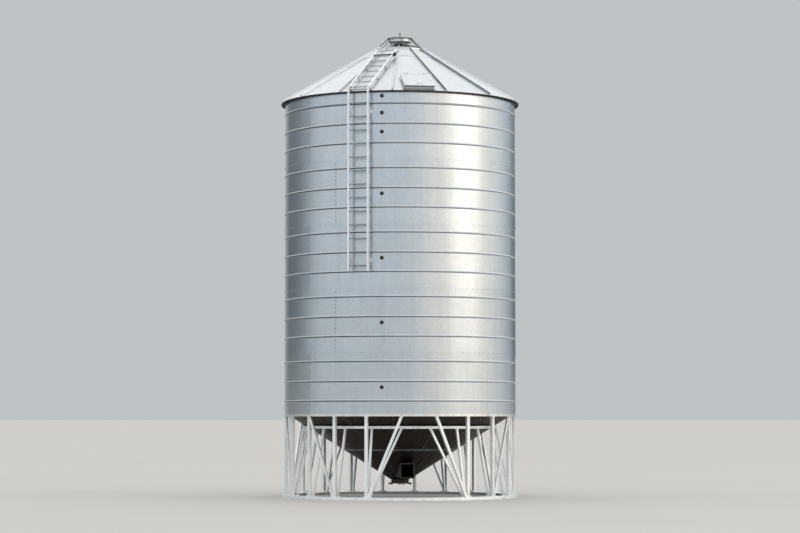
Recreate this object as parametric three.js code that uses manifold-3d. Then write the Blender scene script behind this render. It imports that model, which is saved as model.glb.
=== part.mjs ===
// Grain silo on legs with a hopper bottom, in millimetres, +Z up.
// The origin is on the ground at the silo's centre line. Azimuth 0 is the front, at -Y, over the
// middle of the auger bay, and it grows towards +X.

import * as THREE from "three";
import { mergeVertices } from "three/addons/utils/BufferGeometryUtils.js";
import Module from "manifold-3d";

const wasm = await Module();
wasm.setup();
const { Manifold, Mesh: SolidMesh } = wasm;

// Driving dimensions
const WALL_RADIUS = 2650;
const WALL_THICKNESS = 12;
const WALL_BOTTOM = 1850;
const COURSE_PITCH = 1424;
const COURSE_COUNT = 5;
const SHEETS_PER_COURSE = 3;
const SEAM_STAGGER = 2;
const WALL_FACETS = 42;
const GAP = 0.3;
const CUT_OVERRUN = 20;
const MERGE_TOLERANCE = 1e-3;
const ROD_SIDES = 6;
const PIN_SIDES = 12;
const KNUCKLE_SIDES = 16;

const RIB_HEIGHTS = [348, 777, 1220];
const RIB_DEPTH = 14;
const RIB_HALF_HEIGHT = 24;

const RIM_HEIGHT = 45;
const RIM_THICKNESS = 8;
const RIM_INNER_RADIUS = 2580;

const EAVE_RADIUS = 2740;
const EAVE_TOP = 9040;
const EAVE_LIP = 28;
const EAVE_LIP_THICKNESS = 8;
const ROOF_PITCH = THREE.MathUtils.degToRad(30);
const ROOF_THICKNESS = 10;
const ROOF_FACETS = 56;
const SMALL_FACETS = 24;
const ROOF_SHEETS = 14;
const ROOF_TOP_RADIUS = 660;
const ROOF_RIB_WIDTH = 40;
const ROOF_RIB_HEIGHT = 45;
const ROOF_RIB_LOW_RADIUS = 2726;
const ROOF_RIB_HIGH_RADIUS = 1012;

const CAP_SKIRT_RADIUS = 1000;
const CAP_CURB_RADIUS = 640;
const CAP_CURB_HEIGHT = 46;
const CAP_INNER_RADIUS = 237;
const CAP_INNER_TOP = 10385;
const CAP_THICKNESS = 8;
const CAP_RIB_HEIGHT = 36;
const CAP_RIB_TOP_RADIUS = 280;
const RIB_STEP = 2;

const COLLAR_RADIUS = 235;
const COLLAR_THICKNESS = 10;
const COLLAR_TOP = 10430;
const COLLAR_DEPTH = 100;
const COLLAR_FLANGE_RADIUS = 262;
const COLLAR_FLANGE_THICKNESS = 8;

const GUARD_RADIUS = 288;
const GUARD_BAR = 22;
const GUARD_RING_CENTRE = 10570;
const GUARD_LEG_COUNT = 7;
const GUARD_FOOT_RADIUS = 606;
const GUARD_FOOT_SINK = 6;
const GUARD_PAD_RADIUS = 598;
const GUARD_PAD_WIDTH = 60;
const GUARD_PAD_DEPTH = 40;
const GUARD_PAD_RISE = 16;

const LID_PLATE_RADIUS = 302;
const LID_PLATE_THICKNESS = 7;
const LID_CROWN = 10;
const LID_PAN_RADIUS = 262;
const LID_PAN_DEPTH = 92;
const LID_PAN_WALL = 7;
const PEG_RADIUS = 15;
const PEG_HEIGHT = 140;
const LID_HINGE_OFFSET = 346;
const LID_HINGE_LEVEL = 10590;
const HINGE_PIN_RADIUS = 8;
const HINGE_KNUCKLE_RADIUS = 16;
const HINGE_CLEARANCE = 0.5;
const LID_ARM_WIDTH = 76;
const LID_ARM_LENGTH = 130;
const LID_ARM_THICKNESS = 12;
const LID_EAR_INNER = 310;
const LID_EAR_OUTER = 368;
const LID_EAR_THICKNESS = 12;
const LID_EAR_HEIGHT = 56;
const LID_EAR_SPREAD = 56;
const LID_HINGE_PLATE_DROP = 14;
const LID_ARM_SINK = 2;

const HATCH_WIDTH = 640;
const HATCH_LENGTH = 660;
const HATCH_CENTRE_RADIUS = 2372;
const HATCH_FRAME_WALL = 18;
const HATCH_FRAME_HEIGHT = 72;
const HATCH_LID_OVERLAP = 20;
const HATCH_LID_PLATE = 8;
const HATCH_LID_DEPTH = 40;
const HATCH_LID_SETBACK = 8;
const HATCH_FRAME_SINK = 60;
const HATCH_HOLE_MARGIN = 2;
const HATCH_HINGE_SPREAD = 210;
const HATCH_HINGE_Y = HATCH_LENGTH / 2 + 30;
const HATCH_HINGE_Z = HATCH_FRAME_HEIGHT + 4;
const HATCH_EAR_THICKNESS = 8;
const HATCH_EAR_LENGTH = 44;
const HATCH_EAR_HEIGHT = 36;
const HATCH_EAR_CLEARANCE = 1;
const HATCH_EAR_RISE = 8;
const HATCH_KNUCKLE_LENGTH = 60;
const HATCH_KNUCKLE_RADIUS = 12;
const HATCH_PIN_RADIUS = 6;
const HATCH_ARM_WIDTH = 50;
const HATCH_ARM_LENGTH = 60;
const HATCH_ARM_SETBACK = 2;
const HATCH_HANDLE_SETBACK = 60;
const HATCH_HANDLE_WIDTH = 160;
const HATCH_HANDLE_POST = 20;
const HATCH_HANDLE_RISE = 42;

const LEG_POSITIONS = 21;
const LEG_STEP = 360 / LEG_POSITIONS;
const BAY_HEAD_STEPS = 0.5;
const BAY_FOOT_STEPS = 1.5;
const FIRST_PAIR_STEPS = 2.5;
const PAIRS_PER_SIDE = 4;
const LEG_RADIUS = 2612;
const LEG_SIZE = 75;
const RAKER_FOOT_RADIUS = 2502;
const RAKER_SIZE = 50;
const BRACE_SIZE = 50;
const BAY_BAR_SIZE = 62;
const PLATE_THICKNESS = 12;
const FOOT_PLATE_WIDTH = 170;
const FOOT_PLATE_INNER_RADIUS = 2475;
const FOOT_PLATE_OUTER_RADIUS = 2656;
const HEAD_PLATE_WIDTH = 95;
const RAKER_PLATE_SIZE = 70;
const BRACE_FOOT_SHIFT = 1.1;
const BRACE_HEAD_SHIFT = 0.5;

const BASE_OUTER_RADIUS = 2680;
const BASE_INNER_RADIUS = 2470;
const BASE_HEIGHT = 70;
const BASE_STEEL = 10;
const BASE_FLANGE_INNER_RADIUS = 2590;

const HOPPER_SLOPE = THREE.MathUtils.degToRad(32);
const HOPPER_OUTLET_RADIUS = 200;
const HOPPER_OUTLET_BOTTOM = 406;
const HOPPER_SEAM_RADIUS = 1300;
const HOPPER_THICKNESS = 10;
const BEAM_RADIUS = 2200;
const BEAM_WIDTH = 60;
const BEAM_HEIGHT = 62;

const BOOT_WIDTH = 300;
const BOOT_FRONT = 1050;
const BOOT_TOP = 780;
const BOOT_BOTTOM = 470;
const BOOT_WALL = 8;
const BOOT_LIP = 18;
const BOOT_LIP_THICKNESS = 10;
const NECK_LENGTH = 70;
const NECK_RADIUS = 202;
const NECK_WALL = 10;
const NECK_LAP = 6;
const GATE_SIZE = 470;
const GATE_THICKNESS = 16;

const LADDER_AZIMUTH = -28.5;
const LADDER_WIDTH = 455;
const LADDER_RAIL = 46;
const LADDER_RUNG = 26;
const RUNG_PITCH = 300;
const LADDER_RUNGS = 14;
const LADDER_BOTTOM = 5040;
const LADDER_TOP = 9135;
const LADDER_RADIUS = 2802;
const LADDER_FIRST_RUNG = 5165;
const LADDER_BRACKETS = [5284, 8580];
const LADDER_BRACKET_WIDTH = 30;
const LADDER_BRACKET_HEIGHT = 60;
const ROOF_LADDER_STANDOFF = 82;
const ROOF_LADDER_RAIL = 40;
const ROOF_LADDER_TOP_RADIUS = 860;
const ROOF_LADDER_BOTTOM_RADIUS = 2738;
const ROOF_LADDER_RUNGS = 8;
const ROOF_LADDER_FEET = [1640, 2150, 2660];
const ROOF_LADDER_FOOT_SIZE = 34;

const WINDOW_AZIMUTH = -18;
const WINDOW_RADIUS = 44;
const WINDOW_DEPTH = 18;
const WINDOW_SIDES = 16;
const WINDOW_HEIGHTS = [639, 2063, 3487, 4911, 6280, 6701, 7078];

const GUIDE_RADIUS = 1110;
const GUIDE_WIDTH = 44;
const GUIDE_HALF_LENGTH = 34;
const GUIDE_DEPTH = 56;
const GUIDE_ROLLER_RADIUS = 40;
const GUIDE_ROLLER_LIFT = 20;
const GUIDE_ROLLER_INSET = 8;
const GUIDE_ROLLER_REACH = 12;

// Materials
const material = (color, roughness, metalness) =>
  new THREE.MeshStandardMaterial({ color, roughness, metalness });
const GALVANISED = material(0xc9d0d4, 0.35, 0.9);
const BRIGHT_STEEL = material(0xe3e2dc, 0.4, 0.8);
const LEG_STEEL = material(0xc4c6c5, 0.5, 0.7);
const ROOF_STEEL = material(0xdfe3e4, 0.45, 0.7);
const HOPPER_STEEL = material(0x8f8a82, 0.5, 0.7);
const DARK_STEEL = material(0x2a2a2b, 0.6, 0.5);
const WINDOW_DARK = material(0x14161a, 0.2, 0.1);

// Solids and their placing
const degrees = THREE.MathUtils.degToRad;

function toSolid(geometry) {
  const bare = geometry.clone();
  bare.deleteAttribute("normal");
  bare.deleteAttribute("uv");
  const merged = mergeVertices(bare, MERGE_TOLERANCE);
  return new Manifold(new SolidMesh({
    numProp: 3,
    vertProperties: new Float32Array(merged.attributes.position.array),
    triVerts: new Uint32Array(merged.index.array),
  }));
}

function toGeometry(solid) {
  const mesh = solid.getMesh();
  const geometry = new THREE.BufferGeometry();
  geometry.setAttribute("position", new THREE.BufferAttribute(new Float32Array(mesh.vertProperties), 3));
  geometry.setIndex(new THREE.BufferAttribute(new Uint32Array(mesh.triVerts), 1));
  geometry.computeVertexNormals();
  return geometry;
}

const joined = (solids) => solids.reduce((whole, next) => whole.add(next));

function box(width, depth, height, x = 0, y = 0, z = 0) {
  const geometry = new THREE.BoxGeometry(width, depth, height);
  geometry.translate(x, y, z);
  return geometry;
}

// A ring or cone turned about the centre line from a closed outline of [radius, height] points,
// listed anticlockwise with the radius to the right.
function turned(outline, facets, startDegrees) {
  const points = [...outline, outline[0]].map(([r, z]) => new THREE.Vector2(r, z));
  const geometry = new THREE.LatheGeometry(points, facets);
  geometry.rotateX(Math.PI / 2);
  geometry.rotateZ(degrees(startDegrees));
  return geometry;
}

// A bar of square section between two points, with its faces turned towards "side".
function bar(from, to, width, depth, side) {
  const start = new THREE.Vector3(...from);
  const end = new THREE.Vector3(...to);
  const along = end.clone().sub(start);
  const length = along.length();
  along.normalize();
  const across = new THREE.Vector3(...side);
  across.addScaledVector(along, -across.dot(along)).normalize();
  const third = new THREE.Vector3().crossVectors(along, across);
  const geometry = new THREE.BoxGeometry(width, depth, length);
  const frame = new THREE.Matrix4().makeBasis(across, third, along);
  frame.setPosition(start.clone().add(end).multiplyScalar(0.5));
  geometry.applyMatrix4(frame);
  return geometry;
}

// A leaning bar with level ends: a square section of "size", set square to "side" in plan.
function leaningBar(foot, head, size, side) {
  const start = new THREE.Vector3(...foot);
  const rise = new THREE.Vector3(...head).sub(start);
  const across = new THREE.Vector3(...side);
  const outward = new THREE.Vector3(-side[1], side[0], 0);
  const stretch = (direction) => Math.hypot(rise.z, rise.dot(direction)) / rise.z;
  const geometry = new THREE.BoxGeometry(size * stretch(across), size * stretch(outward), 1);
  geometry.translate(0, 0, 0.5);
  geometry.applyMatrix4(new THREE.Matrix4().makeBasis(across, outward, rise).setPosition(start));
  return geometry;
}

function rod(from, to, radius, sides = ROD_SIDES) {
  const start = new THREE.Vector3(...from);
  const end = new THREE.Vector3(...to);
  const length = start.distanceTo(end);
  const geometry = new THREE.CylinderGeometry(radius, radius, length, sides);
  const turn = new THREE.Quaternion().setFromUnitVectors(
    new THREE.Vector3(0, 1, 0), end.clone().sub(start).normalize());
  geometry.applyQuaternion(turn);
  geometry.translate(...start.clone().add(end).multiplyScalar(0.5).toArray());
  return geometry;
}

// Point at a radius, azimuth and height
const around = (radius, azimuth, height) => [
  radius * Math.sin(degrees(azimuth)), -radius * Math.cos(degrees(azimuth)), height];
const tangent = (azimuth) => [Math.cos(degrees(azimuth)), Math.sin(degrees(azimuth)), 0];

// Heights of the two cones
const roofTopAt = (radius) => EAVE_TOP + (EAVE_RADIUS - radius) * Math.tan(ROOF_PITCH);
const ROOF_DROP = ROOF_THICKNESS / Math.cos(ROOF_PITCH);
const hopperUnderAt = (radius) =>
  HOPPER_OUTLET_BOTTOM + (radius - HOPPER_OUTLET_RADIUS) * Math.tan(HOPPER_SLOPE);
const HOPPER_RISE = HOPPER_THICKNESS / Math.cos(HOPPER_SLOPE);

// Facets of the round wall are centred on whole multiples of their own angle from the front.
const WALL_START = -180 / WALL_FACETS;
const ROOF_START = 0;

const silo = new THREE.Group();

function place(name, geometry, finish, parent = silo) {
  const mesh = new THREE.Mesh(geometry, finish);
  mesh.name = name;
  parent.add(mesh);
  return mesh;
}

// Base ring: a channel laid open side in, unbroken round the silo
function baseRing() {
  return turned([
    [BASE_FLANGE_INNER_RADIUS, 0],
    [BASE_OUTER_RADIUS, 0],
    [BASE_OUTER_RADIUS, BASE_HEIGHT],
    [BASE_INNER_RADIUS, BASE_HEIGHT],
    [BASE_INNER_RADIUS, BASE_HEIGHT - BASE_STEEL],
    [BASE_OUTER_RADIUS - BASE_STEEL, BASE_HEIGHT - BASE_STEEL],
    [BASE_OUTER_RADIUS - BASE_STEEL, BASE_STEEL],
    [BASE_FLANGE_INNER_RADIUS, BASE_STEEL],
  ], WALL_FACETS, WALL_START);
}

// One upright leg with its raking leg, foot plate and head plate
const FOOT_LEVEL = BASE_HEIGHT + GAP;
const HEAD_LEVEL = WALL_BOTTOM - GAP;
const BEAM_TOP = hopperUnderAt(BEAM_RADIUS - BEAM_WIDTH / 2) - GAP;
const BEAM_BOTTOM = BEAM_TOP - BEAM_HEIGHT;
const RAKER_TOP = BEAM_BOTTOM - GAP;

function headPlate(azimuth) {
  return bar(
    around(LEG_RADIUS, azimuth, HEAD_LEVEL - PLATE_THICKNESS),
    around(LEG_RADIUS, azimuth, HEAD_LEVEL), HEAD_PLATE_WIDTH, LEG_SIZE, tangent(azimuth));
}

function rakerHead(azimuth) {
  return bar(
    around(BEAM_RADIUS, azimuth, RAKER_TOP - PLATE_THICKNESS),
    around(BEAM_RADIUS, azimuth, RAKER_TOP), RAKER_PLATE_SIZE, RAKER_PLATE_SIZE, tangent(azimuth));
}

const FOOT_IN_PLATE = FOOT_LEVEL + PLATE_THICKNESS / 2;
const HEAD_IN_PLATE = HEAD_LEVEL - PLATE_THICKNESS / 2;
const RAKER_IN_PLATE = RAKER_TOP - PLATE_THICKNESS / 2;

function footPlate(azimuth) {
  const centre = (FOOT_PLATE_INNER_RADIUS + FOOT_PLATE_OUTER_RADIUS) / 2;
  return bar(around(centre, azimuth, FOOT_LEVEL), around(centre, azimuth, FOOT_LEVEL + PLATE_THICKNESS),
    FOOT_PLATE_WIDTH, FOOT_PLATE_OUTER_RADIUS - FOOT_PLATE_INNER_RADIUS, tangent(azimuth));
}

function legPieces(azimuth) {
  return [
    footPlate(azimuth),
    leaningBar(around(LEG_RADIUS, azimuth, FOOT_IN_PLATE), around(LEG_RADIUS, azimuth, HEAD_IN_PLATE),
      LEG_SIZE, tangent(azimuth)),
    headPlate(azimuth),
    leaningBar(
      around(RAKER_FOOT_RADIUS, azimuth, FOOT_IN_PLATE), around(BEAM_RADIUS, azimuth, RAKER_IN_PLATE),
      RAKER_SIZE, tangent(azimuth)),
    rakerHead(azimuth),
  ];
}

// A bar in the ring of outer legs, from one leg's foot to another position's head
function outerBrace(footAzimuth, headAzimuth, size) {
  const lean = Math.sign(headAzimuth - footAzimuth);
  return leaningBar(
    around(LEG_RADIUS, footAzimuth + lean * BRACE_FOOT_SHIFT, FOOT_IN_PLATE),
    around(LEG_RADIUS, headAzimuth - lean * BRACE_HEAD_SHIFT, HEAD_IN_PLATE),
    size, tangent((footAzimuth + headAzimuth) / 2));
}

function bracedPair(footAzimuth, headAzimuth) {
  return toGeometry(joined([
    ...legPieces(footAzimuth), ...legPieces(headAzimuth),
    outerBrace(footAzimuth, headAzimuth, BRACE_SIZE),
  ].map(toSolid)));
}

function bayFrame(side) {
  const foot = side * BAY_FOOT_STEPS * LEG_STEP;
  const head = side * BAY_HEAD_STEPS * LEG_STEP;
  return toGeometry(joined([
    ...legPieces(foot),
    outerBrace(foot, head - side * BRACE_HEAD_SHIFT, BAY_BAR_SIZE),
    headPlate(head),
    leaningBar(
      around(RAKER_FOOT_RADIUS, foot - side * BRACE_FOOT_SHIFT, FOOT_IN_PLATE),
      around(BEAM_RADIUS, head, RAKER_IN_PLATE), RAKER_SIZE, tangent((foot + head) / 2)),
    rakerHead(head),
  ].map(toSolid)));
}

// Rolled ring beam that carries the hopper on the raking legs
function hopperBeam() {
  const inner = BEAM_RADIUS - BEAM_WIDTH / 2;
  const outer = BEAM_RADIUS + BEAM_WIDTH / 2;
  return turned([
    [inner, BEAM_BOTTOM], [outer, BEAM_BOTTOM], [outer, BEAM_TOP], [inner, BEAM_TOP],
  ], WALL_FACETS, WALL_START);
}

// Hopper: two cone shells that meet at a bolted seam
const HOPPER_TOP_RADIUS = WALL_RADIUS - WALL_THICKNESS - 2 * GAP;

function coneShell(innerRadius, outerRadius) {
  return turned([
    [innerRadius, hopperUnderAt(innerRadius)],
    [outerRadius, hopperUnderAt(outerRadius)],
    [outerRadius, hopperUnderAt(outerRadius) + HOPPER_RISE],
    [innerRadius, hopperUnderAt(innerRadius) + HOPPER_RISE],
  ], WALL_FACETS, WALL_START);
}

function hopperLower() {
  const bootHole = toSolid(box(
    BOOT_WIDTH - 2 * BOOT_WALL, BOOT_FRONT, BOOT_TOP - BOOT_BOTTOM - 2 * BOOT_WALL,
    0, -BOOT_FRONT / 2 - HOPPER_OUTLET_RADIUS, (BOOT_TOP + BOOT_BOTTOM) / 2));
  const neck = toSolid(turned([
    [NECK_RADIUS - NECK_WALL, HOPPER_OUTLET_BOTTOM - NECK_LENGTH],
    [NECK_RADIUS, HOPPER_OUTLET_BOTTOM - NECK_LENGTH],
    [NECK_RADIUS, HOPPER_OUTLET_BOTTOM + NECK_LAP],
    [NECK_RADIUS - NECK_WALL, HOPPER_OUTLET_BOTTOM + NECK_LAP],
  ], WALL_FACETS, WALL_START));
  const cone = toSolid(coneShell(HOPPER_OUTLET_RADIUS, HOPPER_SEAM_RADIUS - GAP));
  return toGeometry(cone.add(neck).subtract(bootHole));
}

// Square boot on the hopper's lower front, open at its mouth and into the hopper
function outletBoot() {
  const depth = BOOT_FRONT - HOPPER_OUTLET_RADIUS;
  const middle = -(BOOT_FRONT + HOPPER_OUTLET_RADIUS) / 2;
  const level = (BOOT_TOP + BOOT_BOTTOM) / 2;
  const height = BOOT_TOP - BOOT_BOTTOM;
  const outer = toSolid(box(BOOT_WIDTH, depth, height, 0, middle, level));
  const lip = toSolid(box(
    BOOT_WIDTH + 2 * BOOT_LIP, BOOT_LIP_THICKNESS, height + 2 * BOOT_LIP,
    0, -BOOT_FRONT + BOOT_LIP_THICKNESS / 2, level));
  const way = toSolid(box(
    BOOT_WIDTH - 2 * BOOT_WALL, depth + 2 * CUT_OVERRUN, height - 2 * BOOT_WALL, 0, middle, level));
  const inside = toSolid(turned([
    [0, hopperUnderAt(0) - GAP / Math.cos(HOPPER_SLOPE)],
    [HOPPER_SEAM_RADIUS, hopperUnderAt(HOPPER_SEAM_RADIUS) - GAP / Math.cos(HOPPER_SLOPE)],
    [HOPPER_SEAM_RADIUS, WALL_BOTTOM],
    [0, WALL_BOTTOM],
  ], WALL_FACETS, WALL_START));
  return toGeometry(outer.add(lip).subtract(way).subtract(inside));
}

function outletGate() {
  const level = HOPPER_OUTLET_BOTTOM - NECK_LENGTH - GAP - GATE_THICKNESS / 2;
  return box(GATE_SIZE, GATE_SIZE, GATE_THICKNESS, 0, 0, level);
}

// Rim angle under and around the wall's bottom edge
function bottomRim() {
  const outer = WALL_RADIUS + GAP + RIM_THICKNESS;
  return turned([
    [RIM_INNER_RADIUS, WALL_BOTTOM],
    [outer, WALL_BOTTOM],
    [outer, WALL_BOTTOM + RIM_HEIGHT],
    [WALL_RADIUS + GAP, WALL_BOTTOM + RIM_HEIGHT],
    [WALL_RADIUS + GAP, WALL_BOTTOM + RIM_THICKNESS],
    [RIM_INNER_RADIUS, WALL_BOTTOM + RIM_THICKNESS],
  ], WALL_FACETS, WALL_START);
}

// One ribbed sheet of a wall course
function courseOutline(course) {
  const bottom = course === 0
    ? WALL_BOTTOM + RIM_THICKNESS + GAP
    : WALL_BOTTOM + course * COURSE_PITCH + GAP;
  const top = course === COURSE_COUNT - 1
    ? roofTopAt(WALL_RADIUS)
    : WALL_BOTTOM + (course + 1) * COURSE_PITCH;
  const inner = WALL_RADIUS - WALL_THICKNESS;
  const outline = [[inner, bottom], [WALL_RADIUS, bottom]];
  for (const height of RIB_HEIGHTS) {
    const level = WALL_BOTTOM + course * COURSE_PITCH + height;
    outline.push([WALL_RADIUS, level - RIB_HALF_HEIGHT]);
    outline.push([WALL_RADIUS + RIB_DEPTH, level]);
    outline.push([WALL_RADIUS, level + RIB_HALF_HEIGHT]);
  }
  outline.push([WALL_RADIUS, top], [inner, top]);
  return outline;
}

function roofUnderCutter() {
  const under = (radius) => roofTopAt(radius) - ROOF_DROP - GAP;
  return toSolid(turned([
    [0, under(0)], [EAVE_RADIUS, under(EAVE_RADIUS)], [EAVE_RADIUS, under(0)], [0, under(0) + CUT_OVERRUN],
  ], ROOF_FACETS, ROOF_START));
}

// The sheet's own sector, a hair short of its neighbours at both ends
function sectorSolid(startAzimuth, sweep, low, high) {
  const reach = 2 * WALL_RADIUS;
  const shape = new THREE.Shape();
  const turn = (azimuth) => [reach * Math.sin(degrees(azimuth)), -reach * Math.cos(degrees(azimuth))];
  const middle = startAzimuth + sweep / 2;
  const shift = [
    GAP / 2 / Math.sin(degrees(sweep / 2)) * Math.sin(degrees(middle)),
    -GAP / 2 / Math.sin(degrees(sweep / 2)) * Math.cos(degrees(middle)),
  ];
  shape.moveTo(...shift);
  for (const azimuth of [startAzimuth, middle, startAzimuth + sweep]) {
    const [x, y] = turn(azimuth);
    shape.lineTo(x + shift[0], y + shift[1]);
  }
  const geometry = new THREE.ExtrudeGeometry(shape, { depth: high - low, bevelEnabled: false });
  geometry.translate(0, 0, low);
  return toSolid(geometry);
}

function wallCourse(course) {
  const ring = toSolid(turned(courseOutline(course), WALL_FACETS, WALL_START));
  return course === COURSE_COUNT - 1 ? ring.subtract(roofUnderCutter()) : ring;
}

// Roof sheets: one cone shell with a turned-down eave and a raised rib on each seam
function roofRib(azimuth) {
  const sunk = ROOF_THICKNESS / 2;
  const lift = (ROOF_RIB_HEIGHT - sunk) / 2 / Math.cos(ROOF_PITCH);
  const onRib = (radius) => around(radius, azimuth, roofTopAt(radius) + lift);
  return toSolid(bar(
    onRib(ROOF_RIB_LOW_RADIUS), onRib(ROOF_RIB_HIGH_RADIUS),
    ROOF_RIB_WIDTH, ROOF_RIB_HEIGHT + sunk, tangent(azimuth)));
}

function roofShell() {
  const lipInner = EAVE_RADIUS - EAVE_LIP_THICKNESS;
  return toSolid(turned([
    [lipInner, EAVE_TOP - EAVE_LIP],
    [EAVE_RADIUS, EAVE_TOP - EAVE_LIP],
    [EAVE_RADIUS, EAVE_TOP],
    [ROOF_TOP_RADIUS, roofTopAt(ROOF_TOP_RADIUS)],
    [ROOF_TOP_RADIUS, roofTopAt(ROOF_TOP_RADIUS) - ROOF_DROP],
    [lipInner, roofTopAt(lipInner) - ROOF_DROP],
  ], ROOF_FACETS, ROOF_START));
}

// Hatch frame and lid share one local frame: x across, y up the slope, z out of the roof.
const HATCH_FRAME = new THREE.Matrix4().makeRotationX(ROOF_PITCH)
  .setPosition(...around(HATCH_CENTRE_RADIUS, 0, roofTopAt(HATCH_CENTRE_RADIUS)));

const inHatchFrame = (geometry) => toSolid(geometry.applyMatrix4(HATCH_FRAME));

function hatchHole() {
  const inset = 2 * (HATCH_FRAME_WALL + HATCH_HOLE_MARGIN);
  return inHatchFrame(box(HATCH_WIDTH - inset, HATCH_LENGTH - inset, 2 * HATCH_FRAME_HEIGHT));
}

const RIB_AZIMUTHS = Array.from({ length: ROOF_SHEETS }, (_, sheet) => (sheet + 0.5) * 360 / ROOF_SHEETS);

function roofSheets() {
  return toGeometry(joined([roofShell(), ...RIB_AZIMUTHS.map(roofRib)]).subtract(hatchHole()));
}

// Everything that lies on the roof is cut by this: the roof's body raised by the gap.
function roofSeatCutter() {
  const raised = GAP / Math.cos(ROOF_PITCH);
  const reach = EAVE_RADIUS + CUT_OVERRUN;
  const floor = roofTopAt(reach) - HATCH_FRAME_SINK;
  return toSolid(turned([
    [0, floor],
    [reach, floor],
    [reach, roofTopAt(reach) + raised],
    [0, roofTopAt(0) + raised],
  ], ROOF_FACETS, ROOF_START));
}

function hatchFrame() {
  const height = HATCH_FRAME_HEIGHT + HATCH_FRAME_SINK;
  const outer = inHatchFrame(box(HATCH_WIDTH, HATCH_LENGTH, height, 0, 0, HATCH_FRAME_HEIGHT - height / 2));
  const inner = inHatchFrame(box(
    HATCH_WIDTH - 2 * HATCH_FRAME_WALL, HATCH_LENGTH - 2 * HATCH_FRAME_WALL, 2 * height));
  const knuckleSpace = HATCH_KNUCKLE_LENGTH / 2 + HATCH_EAR_CLEARANCE;
  const pinHalf = knuckleSpace + HATCH_EAR_THICKNESS;
  const ears = [];
  for (const side of [-1, 1]) {
    for (const ear of [-1, 1]) {
      const x = side * HATCH_HINGE_SPREAD + ear * (knuckleSpace + HATCH_EAR_THICKNESS / 2);
      ears.push(inHatchFrame(box(
        HATCH_EAR_THICKNESS, HATCH_EAR_LENGTH, HATCH_EAR_HEIGHT,
        x, HATCH_HINGE_Y + HATCH_KNUCKLE_RADIUS - HATCH_EAR_LENGTH / 2,
        HATCH_HINGE_Z + HATCH_EAR_RISE - HATCH_EAR_HEIGHT / 2)));
    }
    ears.push(inHatchFrame(rod(
      [side * HATCH_HINGE_SPREAD - pinHalf, HATCH_HINGE_Y, HATCH_HINGE_Z],
      [side * HATCH_HINGE_SPREAD + pinHalf, HATCH_HINGE_Y, HATCH_HINGE_Z],
      HATCH_PIN_RADIUS, PIN_SIDES)));
  }
  return toGeometry(joined([outer.subtract(inner), ...ears]).subtract(roofSeatCutter()));
}

function hatchLid() {
  const width = HATCH_WIDTH + 2 * HATCH_LID_OVERLAP;
  const front = -HATCH_LENGTH / 2 - HATCH_LID_OVERLAP;
  const back = HATCH_LENGTH / 2 - HATCH_LID_SETBACK;
  const plateBottom = HATCH_FRAME_HEIGHT + GAP;
  const plateMiddle = plateBottom + HATCH_LID_PLATE / 2;
  const skirtMiddle = plateBottom + HATCH_LID_PLATE - HATCH_LID_DEPTH / 2;
  const skirt = HATCH_LID_PLATE;
  const middle = (front + back) / 2;
  const solids = [
    inHatchFrame(box(width, back - front, HATCH_LID_PLATE, 0, middle, plateMiddle)),
    inHatchFrame(box(width, skirt, HATCH_LID_DEPTH, 0, front + skirt / 2, skirtMiddle)),
  ];
  for (const side of [-1, 1]) {
    solids.push(inHatchFrame(box(
      skirt, back - front, HATCH_LID_DEPTH, side * (width - skirt) / 2, middle, skirtMiddle)));
  }
  const knuckles = [];
  const bores = [];
  for (const side of [-1, 1]) {
    const x = side * HATCH_HINGE_SPREAD;
    const half = HATCH_KNUCKLE_LENGTH / 2;
    knuckles.push(inHatchFrame(rod(
      [x - half, HATCH_HINGE_Y, HATCH_HINGE_Z], [x + half, HATCH_HINGE_Y, HATCH_HINGE_Z],
      HATCH_KNUCKLE_RADIUS, KNUCKLE_SIDES)));
    knuckles.push(inHatchFrame(box(
      HATCH_ARM_WIDTH, HATCH_ARM_LENGTH, HATCH_LID_PLATE,
      x, HATCH_HINGE_Y - HATCH_ARM_SETBACK - HATCH_ARM_LENGTH / 2, plateMiddle)));
    bores.push(inHatchFrame(rod(
      [x - HATCH_KNUCKLE_LENGTH, HATCH_HINGE_Y, HATCH_HINGE_Z],
      [x + HATCH_KNUCKLE_LENGTH, HATCH_HINGE_Y, HATCH_HINGE_Z],
      HATCH_PIN_RADIUS + HINGE_CLEARANCE, PIN_SIDES)));
  }
  const handleY = front + HATCH_HANDLE_SETBACK;
  const handleTop = plateMiddle + HATCH_HANDLE_RISE;
  const handle = [inHatchFrame(box(
    HATCH_HANDLE_WIDTH, HATCH_HANDLE_POST, HATCH_HANDLE_POST,
    0, handleY, handleTop - HATCH_HANDLE_POST / 2))];
  for (const side of [-1, 1]) {
    const x = side * (HATCH_HANDLE_WIDTH - HATCH_HANDLE_POST) / 2;
    handle.push(inHatchFrame(box(
      HATCH_HANDLE_POST, HATCH_HANDLE_POST, HATCH_HANDLE_RISE, x, handleY, (plateMiddle + handleTop) / 2)));
  }
  return toGeometry(joined([...solids, ...knuckles, ...handle]).subtract(joined(bores)));
}

// Cap over the roof's peak: a skirt on the sheets, a low curb, and a flatter cone to the collar
const CAP_CURB_TOP = roofTopAt(CAP_CURB_RADIUS) + CAP_CURB_HEIGHT;
const CAP_FLAT_SLOPE = (CAP_INNER_TOP - CAP_CURB_TOP) / (CAP_CURB_RADIUS - CAP_INNER_RADIUS);

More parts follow.
